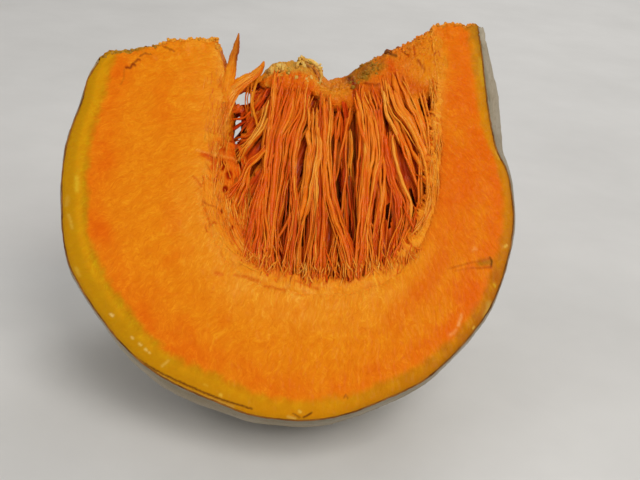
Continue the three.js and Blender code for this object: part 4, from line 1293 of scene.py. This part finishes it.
def face_fibres():
    rg = np.random.default_rng(43)
    lines = []
    # the stem's side: fine fibres along the lip that fan down and to the left over the flesh
    for i in range(150):
        X0, Y0 = rg.uniform(-30, 150), rg.uniform(160, 640)
        if X0 > 112 + 0.05 * (Y0 - 160):
            continue
        g = math.radians(92 + 14 * rg.uniform() + 5 * rg.normal())
        L = rg.uniform(50, 150)
        dx, dy = math.cos(g) * L, math.sin(g) * L
        k = 0.05 * rg.normal() * L
        lines.append([(X0, Y0), (X0 + 0.5 * dx + k, Y0 + 0.5 * dy), (X0 + dx, Y0 + dy)])
    for i in range(26):
        X0, Y0 = rg.uniform(-50, 150), rg.uniform(760, 1250)
        if X0 > 0.34 * (Y0 - 620):
            continue
        g = math.radians(84 + 18 * rg.normal())
        L = rg.uniform(25, 80)
        dx, dy = math.cos(g) * L, math.sin(g) * L
        lines.append([(X0, Y0), (X0 + 0.5 * dx + 6 * rg.normal(), Y0 + 0.5 * dy), (X0 + dx, Y0 + dy)])
    laid("face_fibres_stem_side", lines, (0.07, 0.14), (0.08, 0.5), (0.04, 0.10), STRING, 44)
    lines = []
    # under the cavity: short, radiating
    for i in range(150):
        X0 = rg.uniform(200, 1330)
        yb = 1440 - 0.00042 * (X0 - 740) ** 2 + rg.normal() * 26
        g = math.radians(90 + (X0 - 740) * -0.045 + 26 * rg.normal())
        L = rg.uniform(20, 80)
        lines.append([(X0, yb - 10), (X0 + 0.5 * math.cos(g) * L, yb + 0.5 * math.sin(g) * L), (X0 + math.cos(g) * L, yb + math.sin(g) * L)])
    laid("face_fibres_foot", lines, (0.07, 0.17), (-0.1, 0.5), (0.1, 0.04), STRING, 45)
    lines = []
    # the blossom's side: short strings that cling to the lip
    for i in range(80):
        y0 = rg.uniform(180, 1150)
        L = rg.uniform(40, 190)
        xs = np.interp([y0, y0 + 0.5 * L, y0 + L], [150, 400, 600, 800, 950, 1080, 1200, 1330], [1412, 1418, 1424, 1420, 1408, 1376, 1308, 1200])
        o = rg.normal() * 16 - 6
        lines.append([(xs[0] - 16 + o, y0), (xs[1] + o, y0 + 0.5 * L), (xs[2] + o + 9 * rg.normal(), y0 + L)])
    laid("face_fibres_blossom_side", lines, (0.08, 0.2), (-0.05, 0.45), (0.35, 0.04), STRING, 46, 0.12, 18)


face_fibres()


# ---------------------------------------------------------------- torn core, pith, tongue and flap
def core():
    """The torn body that the strings hang from. It runs along under the axis into the blossom end's flesh."""
    nu, nv = 360, 190
    x = np.linspace(-15.5, 41.0, nu)
    top = core_top_r(x)
    low = np.interp(x, [-15.5, -8, 0, 6, 14, 22, 30, 38], [17.5, 20, 20.5, 25, 27, 27, 26, 24])
    cap = np.sqrt(np.clip(1 - np.clip((-9 - x) / 7.0, 0, 1) ** 2, 0.0, 1))
    mid, half = 0.5 * (top + low), 0.5 * (low - top) * cap
    a = np.linspace(0, 2 * np.pi, nv, endpoint=False)
    e = 0.6
    ca = np.sign(np.cos(a)) * np.abs(np.cos(a)) ** e
    sa = np.sign(np.sin(a)) * np.abs(np.sin(a)) ** e
    rr = mid[:, None] - half[:, None] * sa[None]
    wid = (28.0 * (0.25 + 0.75 * cap) + 4.0 * sstep(20, 34, x))[:, None]
    ph = WEDGE / 2 + wid * ca[None]
    F = fruit(x[:, None] + 0 * rr, rr, ph)
    G = F + 1.5 * np.stack([gnoise(F / 4.0, 195 + k) for k in range(3)], -1)
    Q = np.stack([G[..., 0] / 1.1, rr / 6.0, G[..., 1] / 2.2], -1)
    fib = fbm(Q, 3, 201)
    lump = fbm(F / 5.0, 3, 202)
    crag = 1 - 2 * np.abs(fbm(F / 2.4, 3, 203))
    grit = fbm(F / 0.85, 2, 204)
    cen = fruit(x, mid, WEDGE / 2)[:, None]
    dirv = F - cen
    dirv[..., 0] = 0
    dirv /= np.maximum(np.linalg.norm(dirv, axis=-1), 1e-6)[..., None]
    up = sa[None] + 0 * rr
    rough = sstep(0.0, 0.6, up)
    xx = F[..., 0]
    join = sstep(27, 34, xx)
    disp = 0.45 * fib + 1.5 * lump * (1 - 0.75 * join) + (0.2 + 0.9 * rough) * (crag - 0.5) - 0.2 + 0.40 * grit
    F2 = F + dirv * disp[..., None] * np.clip(half / 2, 0, 1)[:, None, None] + common(F) * 0.4
    col = tint(0.36 + 0.45 * fib + 0.35 * lump)
    pale = sstep(0.3, 0.9, up) * (1 - sstep(-1, 4, xx)) * (0.55 + 1.2 * crag)
    col = mix(col, lin(212, 156, 54), np.clip(pale, 0, 0.85))
    wet = sstep(4, 9, xx)
    col = mix(col, lin(226, 112, 14), np.clip(wet * (0.75 + 0.9 * lump), 0, 0.9))
    col = mix(col, lin(232, 138, 26), np.clip(wet * sstep(0.2, 0.8, up) * (0.3 + 1.2 * lump + 1.0 * fib), 0, 0.8))
    col = mix(col, lin(160, 104, 20), np.clip((1 - sstep(16, 21, xx)) * sstep(9.5, 12.5, xx) * sstep(0.35, 0.9, up) * (0.4 + 1.3 * (crag - 0.5)), 0, 0.6))
    col = mix(col, mix(lin(228, 122, 14), lin(238, 158, 44), np.clip(0.5 + 1.2 * fib, 0, 1)), 0.85 * np.exp(-((xx - 4.5) / 4.6) ** 4) * sstep(-0.3, 0.3, up))
    col = mix(col, mix(C_MID, C_LIGHT, np.clip(0.5 + fib + 0.6 * grit, 0, 1)), 0.85 * join)
    # what shows on the front cut's side
    px, py = proj(F2[..., 0], -F2[..., 2], F2[..., 1])
    seen = F2[..., 1] < 20
    marks = [([(356, 92), (360, 104), (363, 117)], 7.5, (206, 74, 2), 0.9),
             ([(378, 92), (392, 88), (412, 86), (424, 90)], 6.5, (212, 80, 4), 0.7),
             ([(390, 62), (394, 76)], 4.0, (222, 82, 6), 0.6),
             ([(362, 76), (374, 70), (381, 66)], 4.4, (186, 122, 24), 0.75),
             ([(364, 76), (367, 79)], 2.2, (140, 108, 22), 0.7),
             ([(328, 88), (338, 88), (346, 90)], 7.0, (226, 136, 24), 0.8),
             ([(349, 78), (354, 82), (356, 86)], 3.0, (134, 58, 8), 0.85),
             ([(353.3, 80), (354, 97), (358, 111), (358.6, 128)], 1.2, (150, 40, 3), 0.9),
             ([(365, 83), (374, 85), (383, 84)], 1.6, (150, 44, 6), 0.7),
             ([(384, 48), (388, 53), (396, 56)], 1.7, (116, 56, 14), 0.85),
             ([(402.5, 49.5), (408, 55)], 1.1, (140, 50, 6), 0.8),
             ([(414, 47), (415, 56)], 1.2, (190, 60, 4), 0.7),
             ([(418, 60), (424, 69)], 1.2, (160, 46, 6), 0.8),
             # a pale fleck on the wet lobe: painted highlight
             ([(405, 66), (410, 64)], 2.2, (240, 160, 70), 0.3)]
    col = np.where(seen[..., None], paint(col, px, py, marks), col)
    build("core", F2, grid(nu, nv, True), CORE,
          {"col": col.reshape(-1, 3), "st": F.reshape(-1, 3)}, flip=True)
    return F2.reshape(-1, 3)[(up > 0.5).ravel()]


CORE_TOP = core()


def blobs(name, cen, rad, col, mat, seed):
    n = len(cen)
    m, k = 9, 7
    th = np.linspace(0, 2 * np.pi, m, endpoint=False)
    v = np.linspace(0.02, np.pi - 0.02, k)
    D = np.stack([np.sin(v)[:, None] * np.cos(th)[None], np.sin(v)[:, None] * np.sin(th)[None], np.cos(v)[:, None] + 0 * th[None]], -1)
    P = D[None] * rad[:, None, None, :]
    P = P * (1 + 0.55 * gnoise(P / 0.8 + np.arange(n)[:, None, None, None] * 3.1, seed))[..., None]
    P = P + cen[:, None, None]
    q = grid(k, m, True)
    faces = (q[None] + (np.arange(n) * m * k)[:, None, None]).reshape(-1, 4)
    c = np.repeat(np.repeat(col[:, None, None, :], k, 1), m, 2)
    return build(name, P, faces, mat, {"col": c.reshape(-1, 3), "st": P.reshape(-1, 3)}, flip=False)


def pith():
    rg = np.random.default_rng(51)
    lines = [([(545, 225), (550, 165), (572, 110), (604, 128), (648, 152), (690, 172), (698, 215), (702, 255), (682, 288)], 70, 11),
             ([(600, 215), (640, 235), (668, 258), (690, 284)], 16, 8),
             ([(385, 205), (430, 172), (480, 184), (520, 220), (560, 246)], 80, 19),
             ([(400, 228), (460, 226), (520, 240), (600, 252), (660, 268)], 30, 10),
             ([(560, 120), (590, 160), (575, 205)], 22, 12)]
    cen, rad, col = [], [], []
    for pts, n, spread in lines:
        c = resample(catmull(np.array(pts, float), 8), 60)
        for _ in range(n):
            p = c[rg.integers(0, 60)] + rg.normal(size=2) * spread * 0.45
            px, py = zx(p[0], p[1])
            d = abs(rg.normal()) * 2.5 + 1.5
            x, r = unproj(px, py, d)
            cen.append([float(x), d, -float(r)])
            s = rg.uniform(0.35, 0.95) * (0.6 if spread < 14 else 1)
            rad.append([s * rg.uniform(0.6, 1.5), s, s * rg.uniform(0.6, 1.4)])
            col.append(mix(lin(236, 196, 104), lin(206, 146, 50), rg.uniform(0, 1)) if rg.uniform() < 0.93 else lin(170, 136, 48))
    blobs("pith_crumbs", np.array(cen), np.array(rad), np.array(col), PITH, 211)
    # the curly fibres of the torn pith
    K = 26
    P = []
    R = []
    for pts, n, spread in lines:
        for _ in range(7):
            c = resample(catmull(np.array(pts, float), 8), 6) + rg.normal(size=(6, 2)) * spread * 0.35
            px, py = zx(c[:, 0], c[:, 1])
            d = 2.0 + np.abs(rg.normal(size=6)) * 1.2
            x, r = unproj(px, py, d)
            P.append(np.stack([x, d, -r], -1))
            R.append(rg.uniform(0.2, 0.5))
    C = curve3(np.array(P), K)
    C += 0.3 * np.stack([gnoise(C / 1.1 + np.arange(len(C))[:, None, None], 214 + k) for k in range(3)], -1)
    RR = np.array(R)[:, None] * (1 + 0.4 * gnoise(C / 0.9, 217)) * np.sin(np.pi * np.linspace(0.06, 0.94, K))[None] ** 0.4
    colr = mix(lin(240, 200, 110), lin(222, 160, 60), np.clip(0.5 + gnoise(C / 1.5, 218), 0, 1))
    tubes("pith_fibres", C, RR, colr, PITH, 6, None, 8.0)


pith()


def horn(name, pts, d0, d1, thick, brown, seed):
    """A torn shred of flesh that tapers to a tip. pts are [px, py, half width in px] down its middle."""
    nu, nv = 110, 40
    c = resample(catmull(np.array(pts, float), 12), nu)
    d = np.linspace(d0, d1, nu)
    x, r = unproj(c[:, 0], c[:, 1], d)
    hw = c[:, 2] * 0.289
    M = np.stack([x, d, -r], -1)
    T = np.gradient(M, axis=0)
    T /= np.linalg.norm(T, axis=1)[:, None]
    S = np.cross(T, np.array([0, 1.0, 0]))
    S /= np.linalg.norm(S, axis=1)[:, None]
    a = np.linspace(0, 2 * np.pi, nv, endpoint=False)
    P = M[:, None] + S[:, None] * (hw[:, None] * np.cos(a)[None])[..., None]
    P = P + np.array([0, 1.0, 0]) * ((thick * np.minimum(1, hw / 0.8))[:, None] * np.sin(a)[None])[..., None]
    L = np.linspace(0, length(M), nu)
    Q = np.stack([(hw[:, None] * np.cos(a)[None]) / 0.5 + 0 * P[..., 0], np.sin(a)[None] * 1.2 + 0 * P[..., 0], L[:, None] / 4.0 + 0 * P[..., 0]], -1)
    f = fbm(Q + 3.3 * seed, 3, 221)
    g = fbm(P / 1.6, 3, 222 + seed)
    out = P - M[:, None]
    out /= np.maximum(np.linalg.norm(out, axis=-1), 1e-6)[..., None]
    P = P + out * ((0.30 * f + 0.45 * g) * np.minimum(1, hw / 0.9)[:, None])[..., None]
    tip = np.linspace(0, 1, nu)[:, None] + 0 * f
    col = mix(C_MID, C_LIGHT, np.clip(0.5 + 1.0 * g, 0, 1))
    col = mix(col, tint(0.6), np.clip(0.08 + 1.1 * f, 0, 0.55))
    col = mix(col, lin(188, 104, 26), np.clip(brown * sstep(0.35, 0.9, tip) + 0.5 * brown * f, 0, 0.85))
    dark = np.clip(-np.cos(a)[None] * 1.4 - 0.5, 0, 1) * sstep(0.4, 0.7, tip)
    col = mix(col, lin(150, 62, 10), np.clip(brown * dark, 0, 0.8))
    build(name, P, grid(nu, nv, True), FLESH,
          {"col": col.reshape(-1, 3), "st": np.stack([Q[..., 0] * 0.8, L[:, None] + 0 * f, Q[..., 1]], -1).reshape(-1, 3)}, flip=False)


def tongue():
    horn("tongue", [[224.5, 104, 7.5], [226.5, 88, 8.0], [229, 76, 6.6], [231.5, 66, 5.0], [234, 56, 3.8], [236.3, 47, 3.0], [238, 39, 1.8], [238.7, 33.4, 0.5]], 1.6, 1.0, 1.6, 1.0, 1)
    horn("torn_flap", [[215, 106, 10], [222.5, 96.5, 9.6], [232, 88.5, 7.6], [243.5, 81, 5.6], [253, 75, 4.2], [259.5, 70, 3.2], [262.6, 65, 2.2], [264, 61.5, 1.0]], 1.2, 2.6, 1.0, 0.15, 2)
    horn("torn_flap_thread", [[262, 70, 1.8], [257, 80, 1.5], [253.5, 92, 1.3], [252.5, 104, 1.2], [256, 120, 1.1], [259, 132, 0.9]], 2.4, 3.2, 0.35, 0.2, 3)
    horn("torn_flap_back", [[243, 86, 2.5], [252, 84, 2.2], [262, 78, 2.4], [270, 74, 2.6], [278, 76, 2.0]], 3.4, 4.2, 0.6, 0.3, 4)


tongue()


def flap():
    """Fibres on the flap, drawn across from the stem's side towards the core."""
    rg = np.random.default_rng(61)
    lines = []
    for i in range(60):
        o = rg.uniform(-1, 1)
        c = np.array([(30, 520, 62), (88, 400, 54), (146, 322, 38), (222, 262, 25), (292, 213, 18), (326, 170, 9)], float)
        dx, dy = np.gradient(c[:, 0]), np.gradient(c[:, 1])
        m = np.hypot(dx, dy)
        q = np.stack([c[:, 0] - o * c[:, 2] * dy / m, c[:, 1] + o * c[:, 2] * dx / m], 1)
        i0 = rg.integers(0, 3)
        lines.append(q[i0:i0 + rg.integers(3, 5)])
    laid("flap_fibres", lines, (0.14, 0.32), (-0.1, 0.5), (0.2, 0.9), STRING, 62, 0.15, 20, 6)


flap()


def apron():
    """The stem's side of the cavity: a sheet of fibrous flesh that slopes in under the cut, with pits in it."""
    nu, nt = 170, 300
    L = np.array([(199, 128), (198, 150), (199, 175), (201, 200), (207, 225), (219, 246), (236, 264), (258, 276)], float)
    R = np.array([(243, 148), (250, 170), (253, 188), (256, 205), (260, 222), (266, 238), (276, 254), (292, 268)], float)
    Lc, Rc = resample(catmull(L), nt), resample(catmull(R), nt)
    q = np.linspace(0, 1, nu)[:, None]
    t = np.linspace(0, 1, nt)[None]
    px = Lc[None, :, 0] * (1 - q) + Rc[None, :, 0] * q
    py = Lc[None, :, 1] * (1 - q) + Rc[None, :, 1] * q
    d = 0.15 + 5.2 * q ** 1.7 + 1.1 * (1 - sstep(0.0, 0.16, q)) + 0 * t
    A = np.stack([q * 44 * 0.29 * 2.2 + 0 * t, 0 * q + t * 45, 0 * q * t], -1)
    warp = gnoise(A / 9.0, 321)
    ridge_ = fbm(np.stack([A[..., 0] / 0.8 + 1.5 * warp, A[..., 1] / 7.0, 0 * warp], -1), 3, 322)
    lum = fbm(A / 4.0, 3, 323)
    d = d - 0.55 * ridge_ * sstep(0, 0.12, q) - 0.9 * lum * sstep(0, 0.2, q)
    # a step where the firm flesh ends, along the top
    d = d - 1.2 * (1 - sstep(0.02, 0.09, t)) * sstep(0, 0.3, q)
    pit = 0 * d
    for cx, cy, w, h, dep in ((222, 165.5, 3.4, 5.0, 2.4), (229, 175, 3.0, 4.6, 2.2), (225, 189.5, 2.6, 3.4, 2.0), (236, 182, 1.6, 4.0, 1.5), (215, 181, 1.5, 2.4, 0.9),
                              (231, 200, 1.4, 4.0, 1.2), (243, 192, 1.8, 5.0, 1.8), (238, 212, 1.6, 4.4, 1.4), (249, 205, 2.0, 6.0, 2.2), (222, 211, 1.3, 2.8, 0.9),
                              (252, 226, 2.2, 5.0, 2.0), (244, 234, 1.8, 3.4, 1.3), (262, 240, 2.2, 4.2, 1.8), (232, 228, 1.4, 2.8, 1.0), (270, 254, 2.2, 3.0, 1.5)):
        g = np.exp(-(((px - cx) / w) ** 2 + ((py - cy) / h) ** 2) ** 1.5)
        pit = np.maximum(pit, g)
        d = d + 0.55 * dep * g
    x, r = unproj(px, py, np.maximum(d, 0.0))
    F = np.stack([x, d, -r], -1)
    col = tint(0.26 - 0.35 * ridge_ + 0.3 * lum + 0.42 * q ** 1.5)
    col = mix(col, C_LIGHT, np.clip(0.95 * (1 - sstep(0.15, 0.7, q)) * (0.75 + 1.0 * lum), 0, 0.95))
    col = mix(col, lin(206, 70, 4), np.clip(0.9 * np.exp(-((t - 0.075) / 0.03) ** 2) * sstep(0.1, 0.4, q) * (0.6 + lum), 0, 0.8))
    col = mix(col, lin(178, 46, 4), np.clip(1.5 * pit, 0, 1))
    col = paint(col, px, py, FACE_MARKS)
    g = grid(nu, nt)
    hole = (sstep(0.45, 1.0, q + 0 * t) * (fbm(A / np.array([2.4, 8.0, 1.0]) + 5, 2, 325) + 0.12)).ravel()
    keep = hole[g].mean(1) < 0.14
    build("stem_side_apron", F, g[keep], FLESH,
          {"col": col.reshape(-1, 3), "st": (A + np.array([0, 0, 4.4])).reshape(-1, 3)}, flip=True)
    # fibres along it
    rg = np.random.default_rng(65)
    CC = []
    for i in range(150):
        qq, t0 = rg.uniform(0.25, 1.0) ** 0.8, rg.uniform(0.06, 0.85)
        ln = rg.uniform(0.10, 0.34)
        tt = np.clip(t0 + np.linspace(0, ln, 5), 0, 0.999)
        qs = np.clip(qq + 0.10 * rg.normal() * np.linspace(0, 1, 5) - 0.08 * np.linspace(0, 1, 5), 0.0, 0.999)
        iu, it = (qs * (nu - 1)).astype(int), (tt * (nt - 1)).astype(int)
        P = F[iu, it].copy()
        P[:, 1] -= 0.12
        P[0, 1] += 0.4
        P[-1, 1] += 0.4
        CC.append(P)
    C = curve3(np.array(CC), 16)
    n = len(C)
    C += 0.10 * np.stack([gnoise(C / 1.4 + np.arange(n)[:, None, None], 330 + k) for k in range(3)], -1)
    Rr = rg.uniform(0.09, 0.24, n)[:, None] * np.sin(np.pi * np.linspace(0.06, 0.94, 16))[None] ** 0.5
    TT = rg.uniform(0.0, 0.55, n)[:, None] + 0.15 * gnoise(C / 2, 334)
    tubes("apron_fibres", C, Rr, tint(TT), STRING, 5, rg.uniform(0.6, 1, n), 6.6)


apron()


# ---------------------------------------------------------------- rind's cut edge, cracks and marks
def outline_tube(name, O, phi, depth, r0, colour, seed):
    n = 900
    c = resample(O, n)
    T = np.gradient(c, axis=0)
    T /= np.linalg.norm(T, axis=1)[:, None]
    N = np.stack([-T[:, 1], T[:, 0]], 1)
    c = c - N * 0.12
    C = fruit(c[:, 0], c[:, 1], phi)
    C = C + common(C)
    a = math.radians(phi)
    inn = np.array([0, 1.0, 0]) if phi == 0 else -np.array([0, math.cos(a), math.sin(a)])
    C = C + inn * depth
    R = r0 * (1 + 0.35 * fbm(C / 2.0, 3, seed))
    n2 = fbm(C / 5.0, 3, seed + 3)
    u = np.linspace(0, 1, n)
    col = mix(colour[0], colour[1], np.clip(0.5 + n2 * 1.4 + 0.3 * (0.4 - u), 0, 1))
    tubes(name, C[None], R[None], col[None], PITH, 8, None, seed)


outline_tube("rind_edge_front", OF, 0.0, 0.12, 0.24, (lin(98, 58, 20), lin(150, 96, 36)), 241)
outline_tube("rind_edge_back", OB, WEDGE, 0.12, 0.24, (lin(98, 58, 20), lin(150, 96, 36)), 245)


def crumbs():
    """Corky crumbs and torn nubs that stand on the top edges."""
    rg = np.random.default_rng(71)
    cen, rad, colb = [], [], []

    def scatter(V, n, size, c, lo=-99.0, hi=99.0, spot=None):
        W = V[(V[:, 0] > lo) & (V[:, 0] < hi)]
        if spot is not None:
            px, py = proj(W[:, 0], -W[:, 2], W[:, 1])
            W = W[np.argsort(np.hypot(px - spot[0], py - spot[1]))[:12]]
        for i in rg.integers(0, len(W), n):
            s = size * rg.uniform(0.5, 1.1)
            cen.append(W[i] + rg.normal(size=3) * 0.08)
            rad.append([s * rg.uniform(0.7, 1.4), s, s * rg.uniform(0.7, 1.2)])
            colb.append(lin(*c) * rg.uniform(0.8, 1.15))

    scatter(RIDGE_STEM, 60, 0.45, (176, 128, 40), -62, -45)
    scatter(RIDGE_STEM, 110, 0.55, (236, 156, 44), -45, -27)
    scatter(RIDGE_STEM, 4, 0.4, (100, 48, 10), spot=(146.5, 47.5))
    scatter(RIDGE_BLOSSOM, 70, 0.5, (228, 140, 34), 36, 50)
    scatter(CORE_TOP, 12, 0.7, (122, 66, 22), spot=(387, 52))
    scatter(CORE_TOP, 10, 0.65, (172, 88, 18), spot=(398, 48.5))
    scatter(CORE_TOP, 70, 0.5, (160, 112, 30), 12, 21)
    scatter(CORE_TOP, 110, 0.5, (226, 128, 26), 24, 38)
    blobs("top_crumbs", np.array(cen), np.array(rad), np.array(colb), PITH, 255)


crumbs()

# ---------------------------------------------------------------- camera, floor, light
def scene_setup():
    T = np.array([0, 0, -RC])
    cvec = np.array([0, -math.cos(DEL), -math.sin(DEL)])
    up = np.array([0, -math.sin(DEL), math.cos(DEL)])
    right = np.array([1.0, 0, 0])
    a = -RHO
    r2 = math.cos(a) * right - math.sin(a) * up
    u2 = math.sin(a) * right + math.cos(a) * up
    loc = to_row((T + DIST * cvec)[None])[0]
    M = np.eye(4)
    M[:3, 0], M[:3, 1], M[:3, 2], M[:3, 3] = ROT @ r2, ROT @ u2, ROT @ cvec, loc
    cam = bpy.data.cameras.new("camera")
    cam.lens = 60.0
    cam.sensor_width = 36.0
    cam.clip_start = 0.01
    ob = bpy.data.objects.new("camera", cam)
    bpy.context.scene.collection.objects.link(ob)
    from mathutils import Matrix
    ob.matrix_world = Matrix([[float(v) for v in row] for row in M])
    bpy.context.scene.camera = ob


def floor():
    me = bpy.data.meshes.new("floor")
    s = 2.0
    me.from_pydata([(-s, -s, 0), (s, -s, 0), (s, s, 0), (-s, s, 0)], [], [(0, 1, 2, 3)])
    m, nt, b = nodes_of("floor")
    geo = nt.nodes.new("ShaderNodeTexCoord")
    f = noise(nt, geo.outputs["Object"], 14.0, 4.0, 0.6)
    c = mixc(nt, remap(nt, f, 0.3, 0.7, 0.0, 1.0), (0.66, 0.65, 0.63), (0.72, 0.71, 0.69))
    nt.links.new(c, b.inputs["Base Color"])
    b.inputs["Roughness"].default_value = 0.8
    me.materials.append(m)
    ob = bpy.data.objects.new("floor", me)
    bpy.context.scene.collection.objects.link(ob)


def area(name, loc, target, size, power, color=(1, 1, 1)):
    from mathutils import Vector
    li = bpy.data.lights.new(name, "AREA")
    li.energy = power
    li.size = size
    li.color = color
    ob = bpy.data.objects.new(name, li)
    bpy.context.scene.collection.objects.link(ob)
    ob.location = loc
    ob.rotation_euler = (Vector(target) - Vector(loc)).to_track_quat("-Z", "Y").to_euler()


scene_setup()
floor()
area("key", (0.35, -0.75, 0.85), (0, 0, 0.05), 0.55, 7.6, (1.0, 0.98, 0.95))
area("fill", (-0.8, -0.5, 0.5), (0, 0, 0.05), 0.8, 2.6, (0.95, 0.97, 1.0))
area("rim", (0.3, 0.8, 0.7), (0, 0, 0.05), 0.6, 3.0)
w = bpy.data.worlds.new("soft")
bpy.context.scene.world = w
w.use_nodes = True
w.node_tree.nodes["Background"].inputs[0].default_value = (1.0, 0.98, 0.95, 1)
w.node_tree.nodes["Background"].inputs[1].default_value = 0.31
bpy.context.scene.view_settings.view_transform = "Standard"
